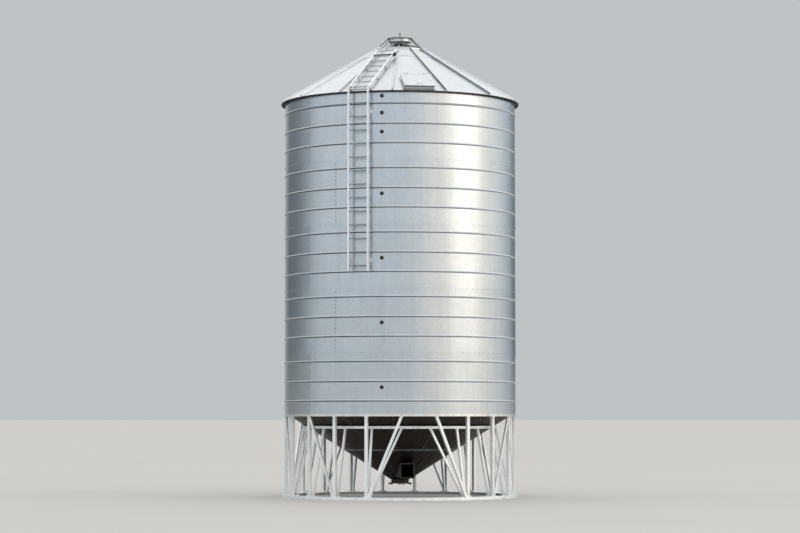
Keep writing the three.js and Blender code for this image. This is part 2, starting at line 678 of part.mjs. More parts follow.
// Two lengths of rib on the cap, up the skirt and over the flatter top, in line with the roof's rib
function capRib(azimuth) {
  const sunk = CAP_THICKNESS / 2;
  const half = (CAP_RIB_HEIGHT + sunk) / 2 - sunk;
  const skirtLift = (GAP + CAP_THICKNESS + half) / Math.cos(ROOF_PITCH);
  const onSkirt = (radius) => around(radius, azimuth, roofTopAt(radius) + skirtLift);
  const onTop = (radius) => around(
    radius, azimuth, CAP_CURB_TOP + (CAP_CURB_RADIUS - radius) * CAP_FLAT_SLOPE + half - RIB_STEP);
  const side = tangent(azimuth);
  const height = CAP_RIB_HEIGHT + sunk;
  return [
    bar(onSkirt(CAP_SKIRT_RADIUS), onSkirt(CAP_CURB_RADIUS - sunk), ROOF_RIB_WIDTH, height, side),
    bar(onTop(CAP_CURB_RADIUS + sunk), onTop(CAP_RIB_TOP_RADIUS), ROOF_RIB_WIDTH - RIB_STEP, height, side),
  ].map(toSolid);
}

function capSolid() {
  const lift = GAP / Math.cos(ROOF_PITCH);
  const steel = CAP_THICKNESS / Math.cos(ROOF_PITCH);
  const curbInner = CAP_CURB_RADIUS - CAP_THICKNESS;
  const underCurb = CAP_CURB_TOP + CAP_FLAT_SLOPE * CAP_THICKNESS - CAP_THICKNESS;
  return toSolid(turned([
    [CAP_SKIRT_RADIUS, roofTopAt(CAP_SKIRT_RADIUS) + lift],
    [CAP_SKIRT_RADIUS, roofTopAt(CAP_SKIRT_RADIUS) + lift + steel],
    [CAP_CURB_RADIUS, roofTopAt(CAP_CURB_RADIUS) + lift + steel],
    [CAP_CURB_RADIUS, CAP_CURB_TOP],
    [CAP_INNER_RADIUS, CAP_INNER_TOP],
    [CAP_INNER_RADIUS, CAP_INNER_TOP - CAP_THICKNESS],
    [curbInner, underCurb],
    [curbInner, roofTopAt(curbInner) + lift],
  ], ROOF_FACETS, ROOF_START));
}

// Everything that stands on the cap is cut by this: the space under its top, raised by the gap.
function capSeatCutter() {
  const under = roofTopAt(CAP_SKIRT_RADIUS);
  return toSolid(turned([
    [0, under],
    [CAP_CURB_RADIUS, under],
    [CAP_CURB_RADIUS, CAP_CURB_TOP + GAP],
    [CAP_INNER_RADIUS, CAP_INNER_TOP + GAP],
    [0, CAP_INNER_TOP + GAP],
  ], ROOF_FACETS, ROOF_START));
}

// Filling collar, dropped through the cap's hole and held by its flange
function fillCollar() {
  const inner = COLLAR_RADIUS - COLLAR_THICKNESS;
  const flangeUnder = CAP_INNER_TOP + GAP;
  return turned([
    [inner, COLLAR_TOP - COLLAR_DEPTH],
    [COLLAR_RADIUS, COLLAR_TOP - COLLAR_DEPTH],
    [COLLAR_RADIUS, flangeUnder],
    [COLLAR_FLANGE_RADIUS, flangeUnder],
    [COLLAR_FLANGE_RADIUS, flangeUnder + COLLAR_FLANGE_THICKNESS],
    [COLLAR_RADIUS, flangeUnder + COLLAR_FLANGE_THICKNESS],
    [COLLAR_RADIUS, COLLAR_TOP],
    [inner, COLLAR_TOP],
  ], SMALL_FACETS, ROOF_START);
}

// Frame of sloping bars round the lid, with the lid's hinge ears at the back
function lidGuard() {
  const half = GUARD_BAR / 2;
  const ring = toSolid(turned([
    [GUARD_RADIUS - half, GUARD_RING_CENTRE - half],
    [GUARD_RADIUS + half, GUARD_RING_CENTRE - half],
    [GUARD_RADIUS + half, GUARD_RING_CENTRE + half],
    [GUARD_RADIUS - half, GUARD_RING_CENTRE + half],
  ], SMALL_FACETS, ROOF_START));
  const legs = [];
  for (let leg = 0; leg < GUARD_LEG_COUNT; leg += 1) {
    const azimuth = leg * 360 / GUARD_LEG_COUNT;
    legs.push(toSolid(rod(
      around(GUARD_RADIUS, azimuth, GUARD_RING_CENTRE),
      around(GUARD_FOOT_RADIUS, azimuth, CAP_CURB_TOP - GUARD_FOOT_SINK), half)));
    legs.push(toSolid(bar(
      around(GUARD_PAD_RADIUS, azimuth, CAP_CURB_TOP - GUARD_FOOT_SINK),
      around(GUARD_PAD_RADIUS, azimuth, CAP_CURB_TOP + GUARD_PAD_RISE),
      GUARD_PAD_WIDTH, GUARD_PAD_DEPTH, tangent(azimuth))));
  }
  const earLength = LID_EAR_OUTER - LID_EAR_INNER;
  const earCentre = (LID_EAR_INNER + LID_EAR_OUTER) / 2;
  const plateLevel = GUARD_RING_CENTRE - LID_HINGE_PLATE_DROP;
  const earLevel = plateLevel + (LID_EAR_HEIGHT - LID_EAR_THICKNESS) / 2;
  const pinHalf = LID_EAR_SPREAD + LID_EAR_THICKNESS / 2;
  const hinge = [
    box(2 * pinHalf, LID_EAR_OUTER - GUARD_RADIUS, LID_EAR_THICKNESS,
      0, (LID_EAR_OUTER + GUARD_RADIUS) / 2, plateLevel),
    rod([-pinHalf, LID_HINGE_OFFSET, LID_HINGE_LEVEL], [pinHalf, LID_HINGE_OFFSET, LID_HINGE_LEVEL],
      HINGE_PIN_RADIUS, PIN_SIDES),
    ...[-LID_EAR_SPREAD, LID_EAR_SPREAD].map((x) =>
      box(LID_EAR_THICKNESS, earLength, LID_EAR_HEIGHT, x, earCentre, earLevel)),
  ].map(toSolid);
  return toGeometry(joined([ring, ...legs, ...hinge]).subtract(capSeatCutter()));
}

// Lid: a plate that lies on the guard ring, a pan below it, and a peg on top
function fillLid() {
  const plateBottom = GUARD_RING_CENTRE + GUARD_BAR / 2 + GAP;
  const plateTop = plateBottom + LID_PLATE_THICKNESS;
  const panInner = LID_PAN_RADIUS - LID_PAN_WALL;
  const pan = toSolid(turned([
    [0, plateBottom],
    [panInner, plateBottom],
    [panInner, plateTop - LID_PAN_DEPTH],
    [LID_PAN_RADIUS, plateTop - LID_PAN_DEPTH],
    [LID_PAN_RADIUS, plateBottom],
    [LID_PLATE_RADIUS, plateBottom],
    [LID_PLATE_RADIUS, plateTop],
    [0, plateTop + LID_CROWN],
  ], SMALL_FACETS, ROOF_START));
  const pieces = [
    rod([0, 0, plateTop], [0, 0, plateTop + PEG_HEIGHT], PEG_RADIUS, PIN_SIDES),
    box(LID_ARM_WIDTH, LID_ARM_LENGTH, LID_ARM_THICKNESS,
      0, LID_HINGE_OFFSET - LID_ARM_LENGTH / 2, plateTop + LID_ARM_THICKNESS / 2 - LID_ARM_SINK),
    rod([-LID_ARM_WIDTH / 2, LID_HINGE_OFFSET, LID_HINGE_LEVEL],
      [LID_ARM_WIDTH / 2, LID_HINGE_OFFSET, LID_HINGE_LEVEL], HINGE_KNUCKLE_RADIUS, KNUCKLE_SIDES),
  ].map(toSolid);
  const bore = toSolid(rod(
    [-LID_ARM_WIDTH, LID_HINGE_OFFSET, LID_HINGE_LEVEL], [LID_ARM_WIDTH, LID_HINGE_OFFSET, LID_HINGE_LEVEL],
    HINGE_PIN_RADIUS + HINGE_CLEARANCE, PIN_SIDES));
  return toGeometry(joined([pan, ...pieces]).subtract(bore));
}

// Wall ladder on stand-off brackets
function wallCutter() {
  const reach = WALL_RADIUS + GAP;
  const top = EAVE_TOP - EAVE_LIP;
  return toSolid(turned([
    [0, WALL_BOTTOM], [reach, WALL_BOTTOM], [reach, top], [0, top],
  ], WALL_FACETS, WALL_START));
}

function wallLadder() {
  const side = tangent(LADDER_AZIMUTH);
  const out = (radius, across, height) => {
    const [x, y, z] = around(radius, LADDER_AZIMUTH, height);
    return [x + side[0] * across, y + side[1] * across, z];
  };
  const half = LADDER_WIDTH / 2;
  const solids = [];
  for (const across of [-half, half]) {
    solids.push(bar(out(LADDER_RADIUS, across, LADDER_BOTTOM), out(LADDER_RADIUS, across, LADDER_TOP),
      LADDER_RAIL, LADDER_RAIL, side));
    for (const level of LADDER_BRACKETS) {
      solids.push(bar(
        out(WALL_RADIUS - LADDER_BRACKET_HEIGHT, across, level), out(LADDER_RADIUS, across, level),
        LADDER_BRACKET_WIDTH, LADDER_BRACKET_HEIGHT, side));
    }
  }
  for (let rung = 0; rung < LADDER_RUNGS; rung += 1) {
    const level = LADDER_FIRST_RUNG + rung * RUNG_PITCH;
    solids.push(rod(out(LADDER_RADIUS, -half, level), out(LADDER_RADIUS, half, level), LADDER_RUNG / 2));
  }
  return toGeometry(joined(solids.map(toSolid)).subtract(wallCutter()));
}

// Point above the roof on the ladder's line, moved sideways by "across"
function onRoof(radius, across, lift) {
  const side = tangent(LADDER_AZIMUTH);
  const [x, y, z] = around(radius, LADDER_AZIMUTH, roofTopAt(radius) + lift);
  return [x + side[0] * across, y + side[1] * across, z];
}

function roofLadder() {
  const side = tangent(LADDER_AZIMUTH);
  const half = LADDER_WIDTH / 2;
  const rise = ROOF_LADDER_STANDOFF / Math.cos(ROOF_PITCH);
  const solids = [];
  for (const across of [-half, half]) {
    solids.push(bar(
      onRoof(ROOF_LADDER_BOTTOM_RADIUS, across, rise), onRoof(ROOF_LADDER_TOP_RADIUS, across, rise),
      ROOF_LADDER_RAIL, ROOF_LADDER_RAIL, side));
    for (const radius of ROOF_LADDER_FEET) {
      solids.push(bar(
        onRoof(radius, across, -ROOF_LADDER_FOOT_SIZE), onRoof(radius, across, rise),
        ROOF_LADDER_FOOT_SIZE, ROOF_LADDER_FOOT_SIZE, side));
    }
  }
  const span = ROOF_LADDER_BOTTOM_RADIUS - ROOF_LADDER_TOP_RADIUS;
  const pitch = RUNG_PITCH * Math.cos(ROOF_PITCH);
  const first = ROOF_LADDER_TOP_RADIUS + (span - pitch * (ROOF_LADDER_RUNGS - 1)) / 2;
  for (let rung = 0; rung < ROOF_LADDER_RUNGS; rung += 1) {
    const radius = first + rung * pitch;
    solids.push(rod(onRoof(radius, -half, rise), onRoof(radius, half, rise), LADDER_RUNG / 2));
  }
  return toGeometry(joined(solids.map(toSolid)).subtract(roofSeatCutter()));
}

// Round sight windows, seated flat on the wall's facet
const FACET_STEP = 360 / WALL_FACETS;
const WINDOW_FACET = Math.round(WINDOW_AZIMUTH / FACET_STEP) * FACET_STEP;
const FACET_DISTANCE = WALL_RADIUS * Math.cos(Math.PI / WALL_FACETS);

function sightWindow(height) {
  const shift = FACET_DISTANCE * Math.tan(degrees(WINDOW_AZIMUTH - WINDOW_FACET));
  const side = tangent(WINDOW_FACET);
  const seat = (distance) => {
    const [x, y, z] = around(distance, WINDOW_FACET, WALL_BOTTOM + height);
    return [x + side[0] * shift, y + side[1] * shift, z];
  };
  return rod(seat(FACET_DISTANCE + GAP), seat(FACET_DISTANCE + GAP + WINDOW_DEPTH), WINDOW_RADIUS,
    WINDOW_SIDES);
}

// Small rope guide on the outer side of the roof ladder's right rail
function ropeGuide() {
  const inner = (LADDER_WIDTH + ROOF_LADDER_RAIL) / 2 + GAP;
  const rise = ROOF_LADDER_STANDOFF / Math.cos(ROOF_PITCH);
  const block = bar(
    onRoof(GUIDE_RADIUS + GUIDE_HALF_LENGTH, inner + GUIDE_WIDTH / 2, rise),
    onRoof(GUIDE_RADIUS - GUIDE_HALF_LENGTH, inner + GUIDE_WIDTH / 2, rise),
    GUIDE_WIDTH, GUIDE_DEPTH, tangent(LADDER_AZIMUTH));
  const roller = rod(
    onRoof(GUIDE_RADIUS, inner + GUIDE_ROLLER_INSET, rise + GUIDE_ROLLER_LIFT),
    onRoof(GUIDE_RADIUS, inner + GUIDE_WIDTH + GUIDE_ROLLER_REACH, rise + GUIDE_ROLLER_LIFT),
    GUIDE_ROLLER_RADIUS, PIN_SIDES);
  return toGeometry(joined([block, roller].map(toSolid)));
}

// The silo
place("base_ring", baseRing(), LEG_STEEL);
place("hopper_ring_beam", hopperBeam(), LEG_STEEL);
place("leg_bay_left", bayFrame(-1), LEG_STEEL);
place("leg_bay_right", bayFrame(1), LEG_STEEL);
for (const [name, side] of [["left", -1], ["right", 1]]) {
  for (let pair = 0; pair < PAIRS_PER_SIDE; pair += 1) {
    const foot = side * (FIRST_PAIR_STEPS + 2 * pair) * LEG_STEP;
    place(`leg_pair_${name}_${pair + 1}`, bracedPair(foot, foot + side * LEG_STEP), LEG_STEEL);
  }
}
place("leg_back", toGeometry(joined(legPieces(180).map(toSolid))), LEG_STEEL);

place("bottom_rim", bottomRim(), BRIGHT_STEEL);
for (let course = 0; course < COURSE_COUNT; course += 1) {
  const ring = wallCourse(course);
  const sweep = 360 / SHEETS_PER_COURSE;
  for (let sheet = 0; sheet < SHEETS_PER_COURSE; sheet += 1) {
    const start = (sheet - 0.5) * sweep + (course % 2) * SEAM_STAGGER * FACET_STEP;
    const part = ring.intersect(sectorSolid(start, sweep, WALL_BOTTOM, EAVE_TOP + EAVE_RADIUS));
    place(`wall_course_${course + 1}_sheet_${sheet + 1}`, toGeometry(part), GALVANISED);
  }
}
WINDOW_HEIGHTS.forEach((height, index) =>
  place(`sight_window_${index + 1}`, sightWindow(height), WINDOW_DARK));

place("hopper_upper", coneShell(HOPPER_SEAM_RADIUS, HOPPER_TOP_RADIUS), HOPPER_STEEL);
place("hopper_lower", hopperLower(), HOPPER_STEEL);
place("outlet_boot", outletBoot(), DARK_STEEL);
place("outlet_gate", outletGate(), DARK_STEEL);

place("roof_sheets", roofSheets(), ROOF_STEEL);
place("roof_cap", toGeometry(joined([capSolid(), ...RIB_AZIMUTHS.flatMap(capRib)])), ROOF_STEEL);
place("fill_collar", fillCollar(), DARK_STEEL);
place("lid_guard", lidGuard(), LEG_STEEL);
place("fill_lid", fillLid(), BRIGHT_STEEL);
place("hatch_frame", hatchFrame(), ROOF_STEEL);
place("hatch_lid", hatchLid(), ROOF_STEEL);
place("wall_ladder", wallLadder(), BRIGHT_STEEL);
place("roof_ladder", roofLadder(), BRIGHT_STEEL);
place("rope_guide", ropeGuide(), DARK_STEEL);

export default silo;
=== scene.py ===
"""Grain silo on legs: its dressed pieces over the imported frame, in metres, +Z up, front at -Y.

Azimuths are in degrees from the front and grow towards +X. A piece is modelled at the front and then
turned about the centre line to its place.
"""

import itertools
import logging
import math
from collections.abc import Callable, Iterator, Mapping, Sequence
from contextlib import contextmanager
from dataclasses import dataclass
from enum import Enum

import bmesh
import bpy
from mathutils import Matrix, Vector


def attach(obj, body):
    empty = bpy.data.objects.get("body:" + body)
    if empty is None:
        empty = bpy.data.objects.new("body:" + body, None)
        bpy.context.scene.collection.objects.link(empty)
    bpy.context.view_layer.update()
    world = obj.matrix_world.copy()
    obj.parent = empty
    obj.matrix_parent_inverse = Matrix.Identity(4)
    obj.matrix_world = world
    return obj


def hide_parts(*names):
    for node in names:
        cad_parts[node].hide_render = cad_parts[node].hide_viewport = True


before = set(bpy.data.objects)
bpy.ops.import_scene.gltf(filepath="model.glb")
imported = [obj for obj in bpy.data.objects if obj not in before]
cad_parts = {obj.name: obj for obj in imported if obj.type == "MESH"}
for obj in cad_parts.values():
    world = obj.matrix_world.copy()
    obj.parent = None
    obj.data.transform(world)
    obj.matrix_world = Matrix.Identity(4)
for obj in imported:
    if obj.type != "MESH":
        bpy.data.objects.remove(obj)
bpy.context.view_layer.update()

LOG = logging.getLogger("silo")

Outline = Sequence[tuple[float, float]]
Span = tuple[float, float]
Triple = tuple[float, float, float]
Colour = tuple[float, float, float, float]
Piece = bpy.types.Object
Tree = bpy.types.NodeTree
Socket = bpy.types.NodeSocket
Inputs = Mapping[str | int, object]

# Sizes that more than one sub-assembly is built on
WALL_RADIUS = 2.650
WALL_BOTTOM = 1.850
COURSE_PITCH = 1.424
COURSE_COUNT = 5
EAVE_RADIUS = 2.740
EAVE_TOP = 9.040
ROOF_PITCH = math.radians(30)
ROOF_SHEET = 0.010
ROOF_SHEETS = 14
CAP_RADIUS = 1.000
CURB_RADIUS = 0.640
HOPPER_SLOPE = math.radians(32)
OUTLET_RADIUS = 0.200
OUTLET_BOTTOM = 0.406
SEAM_RADIUS = 1.300
HOPPER_SHEET = 0.010
WALL_RIBS = (0.348, 0.777, 1.220)
WALL_RIB_HALF = 0.024
LID_HINGE_Y = 0.346
LID_HINGE_Z = 10.590
LADDER_AZIMUTH = -28.5
LADDER_WIDTH = 0.455
RUNG_RADIUS = 0.013
RUNG_PITCH = 0.300

# How finely the pieces are modelled
RING_STEPS = 168
SMALL_RING_STEPS = 84
PIN_SIDES = 12
WELD = 1e-5
# How much of its direction lies along an axis: nearly all, or enough for a face to be on that side
ALONG = 0.9
FACING = 0.5
# A folded channel's lips, steel and corners, as shares of its size
CHANNEL_LIP = 0.24
CHANNEL_STEEL = 0.06
CHANNEL_FOLD = 0.12
# The share of a channel's width past which an edge is one of its sides
CHANNEL_SIDE = 0.4
# Where a node that mixes colours has its factor, its two colours and its output
MIX_FACTOR, MIX_FIRST, MIX_SECOND, MIX_OUTPUT = 0, 6, 7, 2


class Body(Enum):
    """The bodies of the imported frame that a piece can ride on."""

    SILO = "silo"
    FILLING_LID = "filling_lid"
    ROOF_HATCH_LID = "roof_hatch_lid"


class Slot(Enum):
    """The record's material slots."""

    LEG = "leg_steel"
    WALL = "wall_sheet"
    BRIGHT = "bright_steel"
    ROOF = "roof_sheet"
    HOPPER = "hopper_sheet"
    DARK = "dark_steel"
    GLASS = "window_glass"


class Pick(Enum):
    """The kind of mesh element that a pick selects."""

    VERT = "VERT"
    EDGE = "EDGE"
    FACE = "FACE"


# Places


def around(radius: float, azimuth: float, height: float) -> Vector:
    """Return the point at a radius, an azimuth in degrees and a height."""
    angle = math.radians(azimuth)
    return Vector((radius * math.sin(angle), -radius * math.cos(angle), height))


def moved(x: float, y: float, z: float) -> Matrix:
    """Return the move by x, y and z."""
    return Matrix.Translation((x, y, z))


def turn(azimuth: float) -> Matrix:
    """Return the turn about the centre line that takes the front to an azimuth."""
    return Matrix.Rotation(math.radians(azimuth), 4, "Z")


def roof_top(radius: float) -> float:
    """Return the height of the roof sheets' top at a radius."""
    return EAVE_TOP + (EAVE_RADIUS - radius) * math.tan(ROOF_PITCH)


def hopper_under(radius: float) -> float:
    """Return the height of the hopper's underside at a radius."""
    return OUTLET_BOTTOM + (radius - OUTLET_RADIUS) * math.tan(HOPPER_SLOPE)


def on_wall(height: float, radius: float = WALL_RADIUS) -> Matrix:
    """Return a place on the wall's front: x across, y up, z out of the wall."""
    return moved(0, -radius, height) @ Matrix.Rotation(math.pi / 2, 4, "X")


def on_roof(radius: float) -> Matrix:
    """Return a place on the roof's front: x across, y up the slope, z out of the roof."""
    return moved(0, -radius, roof_top(radius)) @ Matrix.Rotation(ROOF_PITCH, 4, "X")


def shaded_flank(middle: Vector, way: Vector) -> bool:
    """Say whether a roof rib's face is a flank that is dressed in painted shade, which is so on the left
    half.
    """
    back = Vector((middle.y, -middle.x, 0)).normalized()
    return middle.x + middle.y < 0 and way.dot(back) > FACING


def under_hopper(radius: float) -> Matrix:
    """Return a place under the hopper's front: x across, y up the slope, z out of the cone."""
    flip = Matrix.Rotation(math.pi - HOPPER_SLOPE, 4, "X")
    return moved(0, -radius, hopper_under(radius)) @ flip


# Modelling with Blender's own operators


def only(*pieces: Piece) -> None:
    """Select just these pieces, with the first one active.

    Args:
        pieces: The pieces to select.
    """
    bpy.ops.object.select_all(action="DESELECT")
    for piece in pieces:
        piece.select_set(True)
    bpy.context.view_layer.objects.active = pieces[0]


@contextmanager
def editing(piece: Piece) -> Iterator[None]:
    """Open a piece's mesh for editing, all of it selected, and close it afterwards.

    Args:
        piece: The piece whose mesh is opened.
    """
    only(piece)
    bpy.ops.object.mode_set(mode="EDIT")
    bpy.ops.mesh.select_mode(type="VERT")
    bpy.ops.mesh.select_all(action="SELECT")
    yield
    bpy.ops.object.mode_set(mode="OBJECT")


def pick(kind: Pick, test: Callable[[Vector, Vector], bool]) -> None:
    """Select the elements of the mesh being edited that pass a test.

    Args:
        kind: Vertices, edges or faces.
        test: Takes an element's middle and its direction, which is the normal of a vertex or face
            and the run of an edge, and says whether it is selected.
    """
    bpy.ops.mesh.select_mode(type=kind.value)
    bpy.ops.mesh.select_all(action="DESELECT")
    mesh = bpy.context.edit_object.data
    work = bmesh.from_edit_mesh(mesh)
    if kind is Pick.FACE:
        found = [(face, face.calc_center_median(), face.normal) for face in work.faces]
    elif kind is Pick.EDGE:
        found = [(edge, (edge.verts[0].co + edge.verts[1].co) / 2,
                  (edge.verts[1].co - edge.verts[0].co).normalized()) for edge in work.edges]
    else:
        found = [(vert, vert.co, vert.normal) for vert in work.verts]
    for element, middle, direction in found:
        if test(middle, direction):
            element.select_set(True)
    work.select_flush_mode()
    bmesh.update_edit_mesh(mesh)


def modify(piece: Piece, kind: str, **settings: object) -> Piece:
    """Give a piece a modifier and apply it.

    Args:
        piece: The piece to change.
        kind: The modifier's type, by Blender's name for it.
        settings: The modifier's own options.

    Returns:
        The piece.
    """
    only(piece)
    bpy.ops.object.modifier_add(type=kind)
    modifier = piece.modifiers[-1]
    for name, value in settings.items():
        setattr(modifier, name, value)
    bpy.ops.object.modifier_apply(modifier=modifier.name)
    return piece


def soften(piece: Piece, width: float, segments: int = 2, angle: float = 40) -> Piece:
    """Ease every edge that is sharper than an angle in degrees, and return the piece."""
    return modify(piece, "BEVEL", width=width, segments=segments, limit_method="ANGLE",
                  angle_limit=math.radians(angle))


def put(piece: Piece, place: Matrix) -> Piece:
    """Move a piece's mesh to a place, while its object stays at the origin.

    Args:
        piece: The piece to move.
        place: The place, seen from where the mesh is.

    Returns:
        The piece.
    """
    only(piece)
    piece.matrix_world = place
    bpy.ops.object.transform_apply(location=True, rotation=True, scale=True)
    return piece


def copy_to(piece: Piece, place: Matrix) -> Piece:
    """Copy a piece to a place.

    Args:
        piece: The piece that is copied.
        place: The copy's place, seen from where the piece is.

    Returns:
        The copy, with a mesh of its own.
    """
    only(piece)
    bpy.ops.object.duplicate(linked=False)
    return put(bpy.context.object, place)


def join(*pieces: Piece) -> Piece:
    """Join pieces into the first of them.

    Args:
        pieces: The pieces to join.

    Returns:
        The first piece, which now holds them all.
    """
    only(*pieces)
    bpy.ops.object.join()
    return pieces[0]


def discard(piece: Piece) -> None:
    """Delete a helper piece."""
    only(piece)
    bpy.ops.object.delete()


def repeat_around(piece: Piece, count: int, step: float | None = None) -> Piece:
    """Repeat a piece round the centre line.

    Args:
        piece: The piece to repeat.
        count: How many there are in the end.
        step: Degrees from one to the next, which is an even ring where it is left out.

    Returns:
        The piece.
    """
    angle = math.radians(360 / count if step is None else step)
    bpy.ops.object.empty_add(location=(0, 0, 0), rotation=(0, 0, angle))
    pivot = bpy.context.object
    modify(piece, "ARRAY", count=count, use_relative_offset=False, use_object_offset=True,
           offset_object=pivot)
    discard(pivot)
    return piece


def repeat_along(piece: Piece, count: int, step: Sequence[float]) -> Piece:
    """Repeat a piece in a straight row, a step apart, and return it."""
    return modify(piece, "ARRAY", count=count, use_relative_offset=False, use_constant_offset=True,
                  constant_offset_displace=step)


def cut(piece: Piece, cutter: Piece) -> Piece:
    """Cut a closed piece by another, which is then deleted.

    Args:
        piece: The piece to cut.
        cutter: The closed piece that takes the cut away.

    Returns:
        The piece.
    """
    modify(piece, "BOOLEAN", operation="DIFFERENCE", solver="EXACT", object=cutter)
    discard(cutter)
    return piece


def turned(outline: Outline, steps: int = RING_STEPS, sweep: float = 360, start: float = 0,
           closed: bool = True) -> Piece:
    """Spin an outline about the centre line.

    Args:
        outline: Points of radius and height, in order.
        steps: Faces along the sweep.
        sweep: Degrees turned through.
        start: Azimuth of the first edge.
        closed: Whether the last point joins the first.

    Returns:
        The piece, with its normals outward.
    """
    points = [around(radius, start, height) for radius, height in outline]
    if closed:
        points.append(points[0])
    bpy.ops.mesh.primitive_plane_add(size=1)
    piece = bpy.context.object
    with editing(piece):
        bpy.ops.mesh.merge(type="CENTER")
        bpy.ops.transform.translate(value=points[0])
        for before, after in itertools.pairwise(points):
            bpy.ops.mesh.extrude_vertices_move(TRANSFORM_OT_translate={"value": after - before})
        bpy.ops.mesh.select_all(action="SELECT")
        bpy.ops.mesh.remove_doubles(threshold=WELD)
        # With no window, an angle turns the other way
        bpy.ops.mesh.spin(steps=steps, angle=-math.radians(sweep), center=(0, 0, 0), axis=(0, 0, 1))
        bpy.ops.mesh.select_all(action="SELECT")
        bpy.ops.mesh.remove_doubles(threshold=WELD)
        bpy.ops.mesh.normals_make_consistent(inside=False)
    return piece


def block(size: Sequence[float], at: Sequence[float] = (0, 0, 0), edge: float = 0.002) -> Piece:
    """Draw a plate or bar out of a cube.

    Args:
        size: Its size along x, y and z.
        at: Its middle.
        edge: How far its edges are eased.

    Returns:
        The plate or bar.
    """
    bpy.ops.mesh.primitive_cube_add(size=1)
    piece = bpy.context.object
    with editing(piece):
        bpy.ops.transform.resize(value=size, center_override=(0, 0, 0))
        bpy.ops.mesh.bevel(offset=edge, segments=2, affect="EDGES")
        bpy.ops.transform.translate(value=at)
    return piece


def rod(start: Vector, end: Vector, radius: float, sides: int = PIN_SIDES,
        edge: float = 0.001) -> Piece:
    """Stretch a round bar between two points.

    Args:
        start: The middle of one end.
        end: The middle of the other end.
        radius: Its radius.
        sides: How many flat sides make it round.
        edge: How far its ends are eased.

    Returns:
        The bar.
    """
    run = end - start
    bpy.ops.mesh.primitive_cylinder_add(vertices=sides, radius=radius, depth=run.length)
    piece = bpy.context.object
    with editing(piece):
        pick(Pick.FACE, lambda _, direction: abs(direction.z) > ALONG)
        bpy.ops.mesh.bevel(offset=edge, segments=2, affect="EDGES")
    place = Matrix.Translation((start + end) / 2) @ run.to_track_quat("Z", "Y").to_matrix().to_4x4()
    return put(piece, place)


def cross_rod(middle: Sequence[float], half: float, radius: float, sides: int = PIN_SIDES) -> Piece:
    """Return a round bar that lies along x and reaches as far to both sides of its middle."""
    reach = Vector((half, 0, 0))
    return rod(Vector(middle) - reach, Vector(middle) + reach, radius, sides)


def folded_bar(foot: Vector, head: Vector, size: float, azimuth: float = 0) -> Piece:
    """Fold a lipped steel channel, with its back outward and its ends cut level.

    Args:
        foot: Middle of the section at the bottom.
        head: Middle of the section at the top.
        size: Side of the square that the section fills.
        azimuth: Where the back faces, in degrees.

    Returns:
        The bar.
    """
    rise = turn(-azimuth) @ (head - foot)
    wide, deep = (size * math.hypot(rise.z, lean) / rise.z for lean in (rise.x, rise.y))
    bpy.ops.mesh.primitive_cube_add(size=1)
    bar = bpy.context.object
    with editing(bar):
        bpy.ops.transform.resize(value=(wide, deep, rise.z), center_override=(0, 0, 0))
        bpy.ops.transform.translate(value=(0, 0, rise.z / 2))
        pick(Pick.FACE, lambda _, direction: abs(direction.z) > ALONG or direction.y > ALONG)
        bpy.ops.mesh.delete(type="FACE")
        for side in (-1, 1):
            pick(Pick.EDGE, lambda middle, run, side=side: abs(run.z) > ALONG
                 and middle.y > CHANNEL_SIDE * deep and side * middle.x > CHANNEL_SIDE * wide)
            lip = (-side * CHANNEL_LIP * size, 0, 0)
            bpy.ops.mesh.extrude_edges_move(TRANSFORM_OT_translate={"value": lip})
        pick(Pick.EDGE, lambda middle, run: abs(run.z) > ALONG and abs(middle.x) > CHANNEL_SIDE * wide)
        bpy.ops.mesh.bevel(offset=CHANNEL_FOLD * size, segments=2, affect="EDGES")
        pick(Pick.VERT, lambda middle, _: middle.z > rise.z / 2)
        bpy.ops.transform.translate(value=(rise.x, rise.y, 0))
        bpy.ops.mesh.select_all(action="SELECT")
        bpy.ops.mesh.normals_make_consistent(inside=False)
    modify(bar, "SOLIDIFY", thickness=CHANNEL_STEEL * size, offset=-1, use_even_offset=True)
    return put(bar, Matrix.Translation(foot) @ turn(azimuth))


def plate_frame(width: float, height: float, depth: float, margin: float) -> Piece:
    """Open a plate into a flat frame in the plane of x and y.

    Args:
        width: Its size along x.
        height: Its size along y.
        depth: Its thickness.
        margin: The width of its four sides.

    Returns:
        The frame, with its middle at the origin.
    """
    frame_piece = block((width, height, depth), edge=0.0015)
    with editing(frame_piece):
        pick(Pick.FACE, lambda middle, direction: abs(direction.z) > ALONG and middle.xy.length < margin)
        bpy.ops.mesh.inset(thickness=margin, use_individual=True)
        bpy.ops.mesh.bridge_edge_loops()
    return frame_piece


@dataclass(frozen=True)
class Bolt:
    """A hexagon bolt head on its round washer, pointing along z."""

    washer: float = 0.010
    head: float = 0.0072
    height: float = 0.0053
    washer_height: float = 0.0025
    crown: float = 0.0016
    sides: int = 8

    def build(self, place: Matrix) -> Piece:
        """Form one bolt head, open underneath.

        Args:
            place: Where its washer's underside sits, with z out of the steel.

        Returns:
            The bolt head.
        """
        bpy.ops.mesh.primitive_cylinder_add(vertices=self.sides, radius=self.washer,
                                            depth=self.washer_height)
        bolt = bpy.context.object
        with editing(bolt):
            bpy.ops.transform.translate(value=(0, 0, self.washer_height / 2))
            pick(Pick.FACE, lambda _, direction: direction.z < -ALONG)
            bpy.ops.mesh.delete(type="FACE")
            pick(Pick.FACE, lambda _, direction: direction.z > ALONG)
            bpy.ops.mesh.inset(thickness=self.washer - self.head)
            bpy.ops.mesh.extrude_region_move(TRANSFORM_OT_translate={"value": (0, 0, self.height)})
            bpy.ops.mesh.inset(thickness=self.crown)
            bpy.ops.transform.translate(value=(0, 0, self.crown))
        return put(bolt, place)


SHEET_BOLT = Bolt()
ROOF_SCREW = Bolt(washer=0.009, head=0.0055, height=0.004, washer_height=0.002, crown=0.0012)
FRAME_BOLT = Bolt(washer=0.017, head=0.012, height=0.010, washer_height=0.003, crown=0.002)


